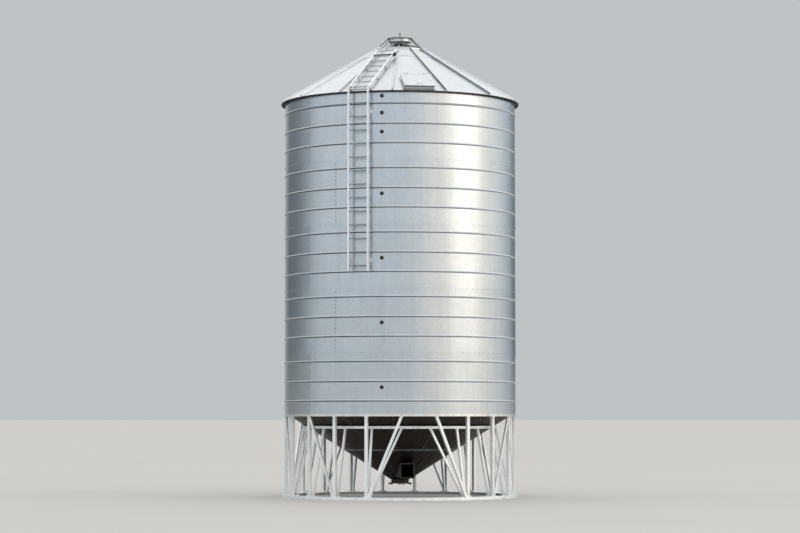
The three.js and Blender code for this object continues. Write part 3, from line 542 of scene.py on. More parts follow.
# Finishes


def linear(hex_colour: str) -> Colour:
    """Turn an sRGB colour into linear light.

    Args:
        hex_colour: Six hex digits, such as "a0b0c0".

    Returns:
        Linear red, green, blue and a full alpha.
    """
    parts = [int(hex_colour[start:start + 2], 16) / 255 for start in (0, 2, 4)]
    red, green, blue = (part / 12.92 if part <= 0.04045 else ((part + 0.055) / 1.055) ** 2.4
                        for part in parts)
    return red, green, blue, 1.0


def fill_inputs(tree: Tree, node: bpy.types.Node, inputs: Inputs) -> None:
    """Give a node's inputs their values, or link them to other nodes' outputs.

    Args:
        tree: The node tree that holds it.
        node: The node.
        inputs: Values or outputs by the input's name or place.
    """
    for name, value in inputs.items():
        if isinstance(value, Socket):
            tree.links.new(value, node.inputs[name])
        else:
            node.inputs[name].default_value = value


def add_node(tree: Tree, kind: str, inputs: Inputs, **settings: object) -> bpy.types.Node:
    """Add a node, set its options and fill its inputs.

    Args:
        tree: The node tree that gets it.
        kind: The node's type without its "ShaderNode" beginning.
        inputs: Values or outputs by the input's name or place.
        settings: The node's own options.

    Returns:
        The node.
    """
    node = tree.nodes.new(f"ShaderNode{kind}")
    for name, value in settings.items():
        setattr(node, name, value)
    fill_inputs(tree, node, inputs)
    return node


def work_out(tree: Tree, operation: str, *values: object, clamp: bool = False) -> Socket:
    """Return the output of a Math node on these values."""
    return add_node(tree, "Math", dict(enumerate(values)), operation=operation,
                    use_clamp=clamp).outputs["Value"]


def blend(tree: Tree, factor: object, first: object, second: object) -> Socket:
    """Return the output of a node that goes from one colour to another by a factor."""
    inputs = {MIX_FACTOR: factor, MIX_FIRST: first, MIX_SECOND: second}
    return add_node(tree, "Mix", inputs, data_type="RGBA").outputs[MIX_OUTPUT]


def ramp(tree: Tree, value: Socket, source: Span = (0.0, 1.0), target: Span = (0.0, 1.0),
         **settings: object) -> Socket:
    """Take a value from one span to another.

    Args:
        tree: The node tree.
        value: The output that gives the value.
        source: Where the value begins and ends.
        target: What it becomes there.
        settings: The node's own options.

    Returns:
        The output that gives the result.
    """
    inputs = {"Value": value, "From Min": source[0], "From Max": source[1],
              "To Min": target[0], "To Max": target[1]}
    return add_node(tree, "MapRange", inputs, **settings).outputs["Result"]


def noise(tree: Tree, place: Socket, scale: float | Sequence[float], detail: float,
          roughness: float = 0.5) -> Socket:
    """Spread a soft random pattern.

    Args:
        tree: The node tree.
        place: The output that gives the place on the piece.
        scale: How many patches lie in a metre, in all or along x, y and z.
        detail: How many finer layers it has.
        roughness: How strong those are.

    Returns:
        The output that gives the pattern, from 0 to 1.
    """
    if isinstance(scale, Sequence):
        place = add_node(tree, "Mapping", {"Vector": place, "Scale": scale}).outputs["Vector"]
        scale = 1.0
    return add_node(tree, "TexNoise", {"Vector": place, "Scale": scale, "Detail": detail,
                                       "Roughness": roughness}).outputs["Fac"]


@dataclass(frozen=True)
class Finish:
    """What the finishes share: a name and how it becomes a material, once."""

    name: str

    def material(self) -> bpy.types.Material:
        """Make the finish's material the first time that it is asked for.

        Returns:
            The one material of this name.
        """
        known = bpy.data.materials.get(self.name)
        if known:
            return known
        made = bpy.data.materials.new(self.name)
        made.use_nodes = True
        tree = made.node_tree
        place = add_node(tree, "TexCoord", {}).outputs["Object"]
        fill_inputs(tree, tree.nodes["Principled BSDF"], self.paint(tree, place))
        return made

    def paint(self, tree: Tree, place: Socket) -> Inputs:
        """Return what the shader's inputs get, from the place on the piece."""
        raise NotImplementedError


@dataclass(frozen=True)
class Zinc(Finish):
    """Steel dipped in molten zinc, which freezes in crystals and is then made dull by rain.

    The crystals give the eye a faint mosaic of lighter and darker flecks, the rain draws soft
    streaks down it, and the slack in a rolled sheet makes what it mirrors waver.
    """

    light: str = "d9dfe3"
    dark: str = "a9b2b8"
    middle: float = 0.75
    roughness: float = 0.36
    dullest: float = 0.08
    brightest: float = 0.04
    # Real crystals are 10 to 15 mm across; finer than this they would be lost at full height
    crystal: float = 0.034
    fleck: float = 0.30
    grain: float = 0.08
    grain_depth: float = 0.0006
    cloud: float = 0.50
    clouds: float = 1.3
    streak: float = 0.45
    streaks: Triple = (7.0, 7.0, 0.45)
    wet: Span = (0.48, 0.72)
    waver: float = 0.10
    wave_length: float = 0.9
    wave_depth: float = 0.05
    # Colour that painted shade darkens towards; plain steel lays none on
    shade_colour: str = "6c7377"

    def painted_shade(self, tree: Tree, place: Socket) -> Socket | float:
        """Return how far the zinc is darkened by painted shade, from 0 to 1: nowhere on plain steel."""
        return 0.0

    def paint(self, tree: Tree, place: Socket) -> Inputs:
        """Mix the crystals, the clouding and the rain streaks, and bend the surface a little.

        Args:
            tree: The material's node tree.
            place: The output that gives the place on the piece.

        Returns:
            What the shader's inputs get.
        """
        cells = add_node(tree, "TexVoronoi", {"Vector": place, "Scale": 1 / self.crystal})
        fleck = add_node(tree, "SeparateColor", {"Color": cells.outputs["Color"]}).outputs["Red"]
        cloud = noise(tree, place, self.clouds, detail=4.0)
        rain = ramp(tree, noise(tree, place, self.streaks, detail=3.0, roughness=0.6), self.wet)
        slack = noise(tree, place, 1 / self.wave_length, detail=1.0)
        low = self.middle - (self.fleck + self.cloud) / 2
        tone = work_out(tree, "MULTIPLY_ADD", fleck, self.fleck, low)
        tone = work_out(tree, "MULTIPLY_ADD", cloud, self.cloud, tone)
        tone = work_out(tree, "MULTIPLY_ADD", rain, -self.streak, tone, clamp=True)
        clean = blend(tree, tone, linear(self.dark), linear(self.light))
        waves = add_node(tree, "Bump", {
            "Strength": self.waver, "Distance": self.wave_depth, "Height": slack})
        grain = add_node(tree, "Bump", {"Strength": self.grain, "Distance": self.grain_depth,
                                        "Height": fleck, "Normal": waves.outputs["Normal"]})
        return {
            # Darken towards the painted shade colour where the finish lays shade on
            "Base Color": blend(tree, self.painted_shade(tree, place), clean, linear(self.shade_colour)),
            "Roughness": ramp(tree, tone, target=(self.roughness + self.dullest,
                                                  self.roughness - self.brightest)),
            "Normal": grain.outputs["Normal"],
            "Metallic": 1.0,
        }


@dataclass(frozen=True)
class RibbedZinc(Zinc):
    """Zinc on the wall's rolled sheets, with painted shade along each rib, darkest on its underside.

    Each rib draws a thin darker line round the wall in painted shade, strongest on the left side and
    fainter on the right, where the key light falls.
    """

    # How strong the painted shade is on each rib and on its lower half, and on the left and right sides
    cover: float = 0.28
    under: float = 0.46
    shaded_side: float = 1.7
    lit_side: float = 0.35

    def painted_shade(self, tree: Tree, place: Socket) -> Socket | float:
        """Lay painted shade on the ribs, by height in the course and by side round the wall.

        Args:
            tree: The material's node tree.
            place: The output that gives the place on the wall.

        Returns:
            The output that gives the painted shade's cover, from 0 to 1.
        """
        axes = add_node(tree, "SeparateXYZ", {"Vector": place})
        level = work_out(tree, "MODULO", work_out(tree, "SUBTRACT", axes.outputs["Z"], WALL_BOTTOM),
                         COURSE_PITCH)
        cover = 0.0
        for rib in WALL_RIBS:
            for middle, half, share in ((rib, WALL_RIB_HALF, self.cover),
                                        (rib - WALL_RIB_HALF / 2, WALL_RIB_HALF / 2, self.under)):
                near = work_out(tree, "COMPARE", level, middle, half)
                cover = work_out(tree, "MULTIPLY_ADD", near, share, cover)
        side = ramp(tree, axes.outputs["X"], (-WALL_RADIUS, WALL_RADIUS / 2),
                    (self.shaded_side, self.lit_side))
        return work_out(tree, "MULTIPLY", cover, side)


@dataclass(frozen=True)
class BlackPaint(Finish):
    """Matt black paint brushed over steel, with dust lying on it in patches.

    It gives the eye a dark shape whose faces are told apart only by a dry, uneven sheen.
    """

    coat: str = "17181a"
    dust: str = "3a3835"
    roughness: Span = (0.45, 0.70)
    ior: float = 1.5
    patches: float = 9.0
    dusty: Span = (0.42, 0.75)
    brush: Triple = (60.0, 6.0, 60.0)
    relief: float = 0.2
    depth: float = 0.0008

    def paint(self, tree: Tree, place: Socket) -> Inputs:
        """Lay dust on the coat in patches, and roughen it with brush marks.

        Args:
            tree: The material's node tree.
            place: The output that gives the place on the piece.

        Returns:
            What the shader's inputs get.
        """
        dust = ramp(tree, noise(tree, place, self.patches, detail=5.0), self.dusty)
        marks = noise(tree, place, self.brush, detail=2.0)
        bump = add_node(tree, "Bump", {"Strength": self.relief, "Distance": self.depth, "Height": marks})
        return {
            "Base Color": blend(tree, dust, linear(self.coat), linear(self.dust)),
            "Roughness": ramp(tree, marks, target=self.roughness),
            "Normal": bump.outputs["Normal"],
            "IOR": self.ior,
        }


@dataclass(frozen=True)
class Patchy(Finish):
    """A finish whose tone and gloss wander together between two limits, in soft patches."""

    first: str
    second: str
    roughness: Span
    ior: float
    patches: float
    detail: float

    def paint(self, tree: Tree, place: Socket) -> Inputs:
        """Spread the patches.

        Args:
            tree: The material's node tree.
            place: The output that gives the place on the piece.

        Returns:
            What the shader's inputs get.
        """
        patch = noise(tree, place, self.patches, self.detail)
        return {
            "Base Color": blend(tree, patch, linear(self.first), linear(self.second)),
            "Roughness": ramp(tree, patch, target=self.roughness),
            "IOR": self.ior,
        }


@dataclass(frozen=True)
class Rubber(Patchy):
    """Moulded black rubber, a little chalky from the weather, which swallows most of the light."""

    first: str = "0a0a0b"
    second: str = "1d1d1e"
    roughness: Span = (0.6, 0.85)
    ior: float = 1.52
    patches: float = 45.0
    detail: float = 4.0


@dataclass(frozen=True)
class Glazing(Patchy):
    """Clear acrylic, near black as painted shade of the bin's inside, glossy under a film of grain dust."""

    first: str = "07090c"
    second: str = "141619"
    roughness: Span = (0.06, 0.25)
    ior: float = 1.49
    patches: float = 30.0
    detail: float = 3.0


@dataclass(frozen=True)
class Screed(Finish):
    """Smooth pale screed, evenly matt, so that it only carries the silo's soft shadow."""

    first: str = "b6b4b0"
    second: str = "b0aeaa"
    roughness: float = 0.9
    patches: float = 0.15

    def paint(self, tree: Tree, place: Socket) -> Inputs:
        """Cloud the screed very slightly.

        Args:
            tree: The material's node tree.
            place: The output that gives the place on the piece.

        Returns:
            What the shader's inputs get.
        """
        cloud = noise(tree, place, self.patches, detail=3.0)
        return {
            "Base Color": blend(tree, cloud, linear(self.first), linear(self.second)),
            "Roughness": self.roughness,
        }


# Pale smooth sheet that mirrors its surroundings in broad upright bands, with painted shade along its ribs
WALL_ZINC = RibbedZinc("wall_zinc", light="ccd1d5", dark="a5aeb4", roughness=0.30, streak=0.16,
                       fleck=0.22, cloud=0.30, shade_colour="535c62")
# The roof's sheet, whiter and more matt under the open sky
ROOF_ZINC = Zinc("roof_zinc", light="d2d5d7", dark="b4babe", roughness=0.40, waver=0.06,
                 streak=0.15, cloud=0.35)
# Thick dipped coats: the legs nearly white and matt, the rim shinier, the ladders between the two
LEG_ZINC = Zinc("leg_zinc", light="f6f7f6", dark="d6dadb", roughness=0.58, waver=0.0)
BRIGHT_ZINC = Zinc("bright_zinc", light="f0efea", dark="c4c6c4", roughness=0.36, waver=0.0)
LADDER_ZINC = Zinc("ladder_zinc", light="eef0f2", dark="cdd2d6", roughness=0.48, waver=0.0)
# Round bars darker than the rails that hold them, as painted shade: darker on the wall, lighter on the roof
RUNG_SHADE_ZINC = Zinc("rung_shade_zinc", light="959aa3", dark="6b717b", roughness=0.42, waver=0.0)
STEP_ZINC = Zinc("step_zinc", light="b4b8bf", dark="8d929b", roughness=0.42, waver=0.0)
# Zinc coloured a dull dark brown as painted shade, so that it hardly mirrors anything
HOPPER_SHADE_ZINC = Zinc("hopper_painted_shade", light="4a433d", dark="28231f", roughness=0.5, waver=0.12)
# Painted shade: grey on one flank of the roof ribs, nearly black under the eave
RIB_FLANK_SHADE = Zinc("rib_flank_shade", light="868b93", dark="5f656d", roughness=0.48, waver=0.0)
EAVE_PAINTED_SHADE = Zinc("eave_painted_shade", light="3c3d3f", dark="1d1e20", roughness=0.6, waver=0.0)
# Plated bolts that catch small glints, and steel that has gone dull, also laid on the hatch lid's front as
# painted shade
BOLT_ZINC = Zinc("bolt_zinc", light="cfd2d3", dark="8d9396", roughness=0.34, waver=0.0)
DULL_ZINC_AND_SHADE = Zinc("dull_zinc_and_shade", light="888b8e", dark="5c5f62", roughness=0.5, waver=0.0)
BLACK_PAINT = BlackPaint("black_paint")
RUBBER = Rubber("weathered_rubber")
GLAZING = Glazing("dark_glazing")


def dress(piece: Piece, finish: Finish) -> Piece:
    """Give a piece one finish all over.

    Args:
        piece: The piece to dress.
        finish: Its finish.

    Returns:
        The piece.
    """
    piece.data.materials.clear()
    piece.data.materials.append(finish.material())
    return piece


def dress_faces(piece: Piece, finish: Finish, test: Callable[[Vector, Vector], bool]) -> Piece:
    """Give some faces of a dressed piece another finish.

    Args:
        piece: The piece, dressed all over.
        finish: The finish of those faces.
        test: Takes a face's middle and normal, and says whether it is one of them.

    Returns:
        The piece.
    """
    piece.data.materials.append(finish.material())
    piece.active_material_index = len(piece.data.materials) - 1
    with editing(piece):
        pick(Pick.FACE, test)
        bpy.ops.object.material_slot_assign()
    return piece


def hand_over(piece: Piece, name: str, nodes: Sequence[str],
              body: Body = Body.SILO, crease: float = 32) -> None:
    """Shade a finished piece, name it, and give it to the frame in place of its CAD nodes.

    Args:
        piece: The piece, at its place and dressed.
        name: Its name in the scene.
        nodes: The CAD nodes that it stands for.
        body: The body that it rides on.
        crease: The angle in degrees above which an edge stays sharp.
    """
    only(piece)
    bpy.ops.object.shade_smooth_by_angle(angle=math.radians(crease))
    # An eased edge must not bend the light on the wide face beside it
    modify(piece, "WEIGHTED_NORMAL", keep_sharp=True)
    piece.name = name
    piece.data.name = name
    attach(piece, body.value)
    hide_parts(*nodes)
    LOG.info("%-20s %6d faces, rides on %s", name, len(piece.data.polygons), body.value)


# Parts that several sub-assemblies share


def bolt_row(bolt: Bolt, count: int, step: Sequence[float], place: Matrix,
             finish: Finish = BOLT_ZINC) -> Piece:
    """Set bolts in a straight row, a step apart, its middle at a place, and return it dressed."""
    first = Matrix.Translation(Vector(step) * (1 - count) / 2)
    return dress(put(repeat_along(bolt.build(first), count, step), place), finish)


@dataclass(frozen=True)
class Splice:
    """Plate bolted over the joint of a rolled ring."""

    width: float
    height: float
    lift: float
    steel: float = 0.006
    bolts: int = 4
    bolt_pitch: float = 0.040
    bolt_lift: float = 0.002

    def build(self, place: Matrix) -> Piece:
        """Bolt the plate on.

        Args:
            place: Where its middle sits, with z out of the ring.

        Returns:
            The plate with its bolts.
        """
        plate = dress(put(block((self.width, self.height, self.steel), (0, 0, self.lift)), place), LEG_ZINC)
        face = place @ moved(0, 0, self.lift + self.bolt_lift)
        return join(plate, bolt_row(SHEET_BOLT, self.bolts, (self.bolt_pitch, 0, 0), face))


@dataclass(frozen=True)
class CoverRib:
    """Folded rib along y that covers a roof seam, narrower at its top, its foot let in a little."""

    width: float
    rise: float
    ease: float
    sink: float = 0.004
    taper: float = 0.62
    edge: float = 0.001

    def build(self, length: float) -> Piece:
        """Fold one length of the rib.

        Args:
            length: How long it is.

        Returns:
            The rib at the origin, dressed.
        """
        rib = block((self.width, length, self.rise + self.sink), (0, 0, (self.rise - self.sink) / 2),
                    self.edge)
        with editing(rib):
            pick(Pick.VERT, lambda place, _: place.z > self.rise / 2)
            bpy.ops.transform.resize(value=(self.taper, 1, 1), center_override=(0, 0, 0))
        return dress(soften(rib, self.ease), ROOF_ZINC)


# Sub-assemblies


@dataclass
class BaseRing:
    """Channel ring on the ground, open side in, with fishplates over its joints."""

    outer: float = 2.680
    inner: float = 2.470
    flange_inner: float = 2.590
    height: float = 0.070
    steel: float = 0.010
    ease: float = 0.003
    joints: int = 6
    joint_step: float = 360 / 7
    fishplate: Splice = Splice(width=0.160, height=0.050, lift=0.002)

    def channel(self) -> Piece:
        """Roll the channel into its ring.

        Returns:
            The ring, dressed.
        """
        ring = turned([
            (self.flange_inner, 0), (self.outer, 0), (self.outer, self.height),
            (self.inner, self.height), (self.inner, self.height - self.steel),
            (self.outer - self.steel, self.height - self.steel),
            (self.outer - self.steel, self.steel), (self.flange_inner, self.steel)])
        return dress(soften(ring, self.ease), LEG_ZINC)

    def fishplates(self) -> Piece:
        """Return the plates bolted over the ring's joints, none of them in the auger bay."""
        place = turn(self.joint_step) @ on_wall(self.height / 2, self.outer)
        return repeat_around(self.fishplate.build(place), self.joints, self.joint_step)

    def build(self) -> None:
        """Build the ring and hand it over."""
        hand_over(join(self.channel(), self.fishplates()), "ground_channel", ["base_ring"])


@dataclass
class LegRing:
    """Nineteen upright legs with their raking legs, the braces between them and the bay's frame."""

    step: float = 360 / 21
    radius: float = 2.612
    size: float = 0.075
    raker_foot: float = 2.502
    raker_head: float = 2.200
    raker_size: float = 0.050
    bay_size: float = 0.062
    foot_level: float = 0.0763
    head_level: float = 1.8437
    raker_level: float = 1.5684
    plate: float = 0.012
    head_plate_width: float = 0.095
    raker_plate_side: float = 0.070
    foot_plate: tuple[float, float] = (0.170, 0.181)
    foot_plate_y: float = -2.5655
    anchors_x: tuple[float, float] = (-0.066, 0.066)
    anchors_y: tuple[float, float] = (-2.632, -2.500)
    bolts_x: tuple[float, float] = (-0.018, 0.018)
    bolt_levels: tuple[float, ...] = (0.125, 0.185, 1.730, 1.800)
    # Degrees by which a leaning bar's ends stand clear of the uprights
    foot_shift: float = 1.1
    head_shift: float = 0.5
    pairs: int = 4

    def head_plate(self) -> Piece:
        """Return the plate on top of an upright, at the front."""
        size = (self.head_plate_width, self.size, self.plate)
        return dress(block(size, (0, -self.radius, self.head_level)), LEG_ZINC)

    def raker_plate(self) -> Piece:
        """Return the plate on top of a raking leg, at the front."""
        size = (self.raker_plate_side, self.raker_plate_side, self.plate)
        return dress(block(size, (0, -self.raker_head, self.raker_level)), LEG_ZINC)

    def stand(self) -> Piece:
        """Stand one upright and its raking leg on their foot plate, at the front.

        Returns:
            The two legs with their plates and bolts.
        """
        face = self.radius + self.size / 2
        foot = block((*self.foot_plate, self.plate), (0, self.foot_plate_y, self.foot_level))
        upright = folded_bar(around(self.radius, 0, self.foot_level),
                             around(self.radius, 0, self.head_level), self.size)
        raker = folded_bar(around(self.raker_foot, 0, self.foot_level),
                           around(self.raker_head, 0, self.raker_level), self.raker_size)
        steel = dress(join(foot, upright, raker), LEG_ZINC)
        bolts = []
        for x, y in itertools.product(self.anchors_x, self.anchors_y):
            place = moved(x, y, self.foot_level + self.plate / 2)
            bolts.append(FRAME_BOLT.build(place))
        for x, level in itertools.product(self.bolts_x, self.bolt_levels):
            bolts.append(SHEET_BOLT.build(moved(x, 0, 0) @ on_wall(level, face)))
        return join(steel, self.head_plate(), self.raker_plate(), dress(join(*bolts), BOLT_ZINC))

    def brace(self, foot: float, head: float, size: float) -> Piece:
        """Lean a bar in the outer ring.

        Args:
            foot: The azimuth of its foot.
            head: The azimuth of its head.
            size: The side of its section.

        Returns:
            The bar, dressed.
        """
        lean = math.copysign(1, head - foot)
        return dress(folded_bar(
            around(self.radius, foot + lean * self.foot_shift, self.foot_level),
            around(self.radius, head - lean * self.head_shift, self.head_level),
            size, (foot + head) / 2), LEG_ZINC)

    def bay(self, stand: Piece, side: int) -> Piece:
        """Frame one side of the auger bay, from its leg in to its leaning bars.

        Args:
            stand: The leg set at the front that is copied.
            side: -1 for the left side and 1 for the right.

        Returns:
            That side's frame.
        """
        foot, head = side * 1.5 * self.step, side * 0.5 * self.step
        inner = dress(folded_bar(
            around(self.raker_foot, foot - side * self.foot_shift, self.foot_level),
            around(self.raker_head, head, self.raker_level),
            self.raker_size, (foot + head) / 2), LEG_ZINC)
        outer = self.brace(foot, head - side * self.head_shift, self.bay_size)
        return join(copy_to(stand, turn(foot)), outer, inner,
                    put(self.head_plate(), turn(head)), put(self.raker_plate(), turn(head)))

    def pair(self, stand: Piece, foot: float, head: float) -> Piece:
        """Return two legs and the brace that leans from one to the other."""
        return join(copy_to(stand, turn(foot)), copy_to(stand, turn(head)),
                    self.brace(foot, head, self.raker_size))

    def build(self) -> None:
        """Build every leg and hand them over in the CAD's groups."""
        stand = self.stand()
        for name, side in (("left", -1), ("right", 1)):
            hand_over(self.bay(stand, side), f"bay_frame_{name}", [f"leg_bay_{name}"])
            for number in range(1, self.pairs + 1):
                foot = side * (0.5 + 2 * number) * self.step
                hand_over(self.pair(stand, foot, foot + side * self.step),
                          f"leg_set_{name}_{number}", [f"leg_pair_{name}_{number}"])
        hand_over(put(stand, turn(180)), "rear_leg", ["leg_back"])


@dataclass
class HopperBeam:
    """Rolled box beam that carries the hopper on the raking legs."""

    inner: float = 2.170
    outer: float = 2.230
    bottom: float = 1.5747
    top: float = 1.6367
    corner: float = 0.005
    splices: int = 7
    splice: Splice = Splice(width=0.180, height=0.046, lift=0.001)

    def build(self) -> None:
        """Build the beam with its splice plates and hand it over."""
        beam = dress(soften(turned([
            (self.inner, self.bottom), (self.outer, self.bottom),
            (self.outer, self.top), (self.inner, self.top)]), self.corner, 3), LEG_ZINC)
        plate = self.splice.build(on_wall((self.bottom + self.top) / 2, self.outer))
        splices = repeat_around(plate, self.splices)
        hand_over(join(beam, splices), "hopper_beam", ["hopper_ring_beam"])


@dataclass(frozen=True)
class SideBoot:
    """Square boot out of the hopper's lower front, with a bolted flange round its open mouth."""

    width: float = 0.300
    front: float = 1.050
    back: float = 0.220
    bottom: float = 0.470
    top: float = 0.780
    steel: float = 0.008
    lip: float = 0.018
    clear: float = 0.0004
    flange_steel: float = 0.010
    # The bolts up each side of the flange and along its top and bottom
    flange_bolts: tuple[int, int] = (4, 3)
    flange_pitches: tuple[float, float] = (0.080, 0.090)
    hole_depth: float = 1.05
    hole_y: float = -0.725

    def level(self) -> float:
        """Return the height of the boot's middle."""
        return (self.top + self.bottom) / 2

    def hole(self) -> Piece:
        """Return the block that opens the cone for the boot."""
        size = (self.width - 2 * self.steel, self.hole_depth, self.top - self.bottom - 2 * self.steel)
        return block(size, (0, self.hole_y, self.level()))

    def duct(self) -> Piece:
        """Fold the boot's four sides and close them against the cone's underside.

        Returns:
            The sides, dressed.
        """
        duct = block((self.width, self.front - self.back, self.top - self.bottom),
                     (0, -(self.front + self.back) / 2, self.level()), self.steel / 2)
        with editing(duct):
            pick(Pick.FACE, lambda _, direction: abs(direction.y) > FACING)
            bpy.ops.mesh.delete(type="FACE")
        modify(duct, "SOLIDIFY", thickness=self.steel, offset=-1, use_even_offset=True)
        return dress(cut(duct, turned([
            (0, hopper_under(0) - self.clear), (SEAM_RADIUS, hopper_under(SEAM_RADIUS) - self.clear),
            (SEAM_RADIUS, WALL_BOTTOM), (0, WALL_BOTTOM)], SMALL_RING_STEPS)), BLACK_PAINT)

    def flange(self) -> Piece:
        """Bolt a flat frame round the boot's mouth.

        Returns:
            The frame with its bolts, dressed.
        """
        height = self.top - self.bottom
        half = self.flange_steel / 2
        mouth = on_wall(self.level(), self.front - half)
        frame_piece = plate_frame(self.width + 2 * self.lip, height + 2 * self.lip, self.flange_steel,
                                  self.lip + self.steel)
        bolts = []
        up, across = self.flange_pitches
        for side in (-1, 1):
            upright = mouth @ moved(side * (self.width / 2 + half), 0, half)
            level_row = mouth @ moved(0, side * (height / 2 + half), half)
            rows = zip((upright, level_row), self.flange_bolts, ((0, up, 0), (across, 0, 0)))
            bolts.extend(bolt_row(SHEET_BOLT, count, step, place, BLACK_PAINT)
                         for place, count, step in rows)
        return join(dress(put(frame_piece, mouth), BLACK_PAINT), *bolts)

    def build(self) -> None:
        """Build the boot and hand it over."""
        hand_over(join(self.duct(), self.flange()), "side_boot", ["outlet_boot"])


@dataclass
class Hopper:
    """Cone of lapped sheets in two tiers, with its neck."""

    top_radius: float = 2.6374
    gap: float = 0.0003
    laps: int = 14
    lap_width: float = 0.060
    lap_steel: float = 0.004
    lap_bolt_pitch: float = 0.10
    lap_margin: float = 0.04
    laps_top: float = 2.56
    laps_bottom: float = 0.26
    seam_half: float = 0.034
    seam_steel: float = 0.005
    seam_ease: float = 0.0012
    seam_bolts: int = 60
    neck_inner: float = 0.192
    neck_outer: float = 0.202
    neck_bottom: float = 0.336
    boot: SideBoot = SideBoot()

    def laps_between(self, low: float, high: float, count: int) -> Piece:
        """Lay bolted radial laps under the cone.

        Args:
            low: The radius where they start.
            high: The radius where they end.
            count: How many there are round the cone.

        Returns:
            All of the laps.
        """
        length = (high - low) / math.cos(HOPPER_SLOPE)
        middle = under_hopper((low + high) / 2)
        sink = self.lap_steel / 4
        strip = put(block((self.lap_width, length, self.lap_steel), (0, 0, sink), sink), middle)
        face = middle @ moved(0, 0, self.lap_steel - sink)
        row = bolt_row(SHEET_BOLT, int(length / self.lap_bolt_pitch), (0, self.lap_bolt_pitch, 0), face)
        lap = put(join(dress(strip, HOPPER_SHADE_ZINC), row), turn(180 / count))
        return repeat_around(lap, count)

    def seam(self) -> Piece:
        """Roll the bright bolted band that laps the two tiers.

        Returns:
            The band with its bolts.
        """
        steel = self.seam_steel
        low, high = SEAM_RADIUS - self.seam_half, SEAM_RADIUS + self.seam_half
        band = dress(soften(turned([
            (low, hopper_under(low) - steel), (high, hopper_under(high) - steel),
            (high, hopper_under(high)), (low, hopper_under(low))]), self.seam_ease), DULL_ZINC_AND_SHADE)
        bolt = SHEET_BOLT.build(under_hopper(SEAM_RADIUS) @ moved(0, 0, steel))
        return join(band, repeat_around(dress(bolt, BOLT_ZINC), self.seam_bolts))

    def upper(self) -> Piece:
        """Roll the upper tier.

        Returns:
            The tier with its laps and the seam's band.
        """
        rise = HOPPER_SHEET / math.cos(HOPPER_SLOPE)
        # The sheet is dressed dark brown as painted shade
        cone = dress(turned([
            (SEAM_RADIUS, hopper_under(SEAM_RADIUS)), (self.top_radius, hopper_under(self.top_radius)),
            (self.top_radius, hopper_under(self.top_radius) + rise),
            (SEAM_RADIUS, hopper_under(SEAM_RADIUS) + rise)]), HOPPER_SHADE_ZINC)
        laps = self.laps_between(SEAM_RADIUS + self.lap_margin, self.laps_top, self.laps)
        return join(cone, laps, self.seam())

    def lower(self) -> Piece:
        """Roll the lower tier with its neck, and cut it open for the boot.

        Returns:
            The tier with its laps.
        """
        rise = HOPPER_SHEET / math.cos(HOPPER_SLOPE)
        edge = SEAM_RADIUS - self.gap
        cone = turned([
            (self.neck_inner, self.neck_bottom), (self.neck_outer, self.neck_bottom),
            (self.neck_outer, hopper_under(self.neck_outer)), (edge, hopper_under(edge)),
            (edge, hopper_under(edge) + rise), (self.neck_inner, OUTLET_BOTTOM + rise)])
        # The sheet is dressed dark brown as painted shade
        lower = dress(cut(cone, self.boot.hole()), HOPPER_SHADE_ZINC)
        laps = self.laps_between(self.laps_bottom, SEAM_RADIUS - self.lap_margin, self.laps // 2)
        return join(lower, laps)

    def build(self) -> None:
        """Build the tiers and the boot and hand them over."""
        hand_over(self.upper(), "hopper_cone_upper", ["hopper_upper"])
        hand_over(self.lower(), "hopper_cone_lower", ["hopper_lower"])
        self.boot.build()


@dataclass
class SlideGate:
    """Slide gate hung shut under the hopper's neck, with its guides and its pull."""

    size: float = 0.470
    middle: float = 0.3277
    depth: float = 0.016
    guide: tuple[float, float] = (0.030, 0.022)
    guide_sink: float = 0.010
    ease: float = 0.003
    pull_half: float = 0.090
    pull_radius: float = 0.008
    pull_inset: float = 0.012
    pull_drop: float = 0.014
    bolts: int = 4
    bolt_inset: float = 0.018

    def build(self) -> None:
        """Build the gate and hand it over."""
        half = self.size / 2
        under, over = self.middle - self.depth / 2, self.middle + self.depth / 2
        wide, deep = self.guide
        plate = block((self.size, self.size, self.depth), (0, 0, self.middle), self.ease)
        guides = [block((wide, self.size, deep), (side * (half - wide / 2), 0, under - self.guide_sink),
                        self.ease) for side in (-1, 1)]
        pull = cross_rod((0, self.pull_inset - half, under - self.pull_drop),
                         self.pull_half, self.pull_radius)
        bolt = SHEET_BOLT.build(moved(0, self.bolt_inset - half, over))
        gate = join(plate, *guides, pull, repeat_around(bolt, self.bolts))
        hand_over(dress(gate, BLACK_PAINT), "slide_gate", ["outlet_gate"])


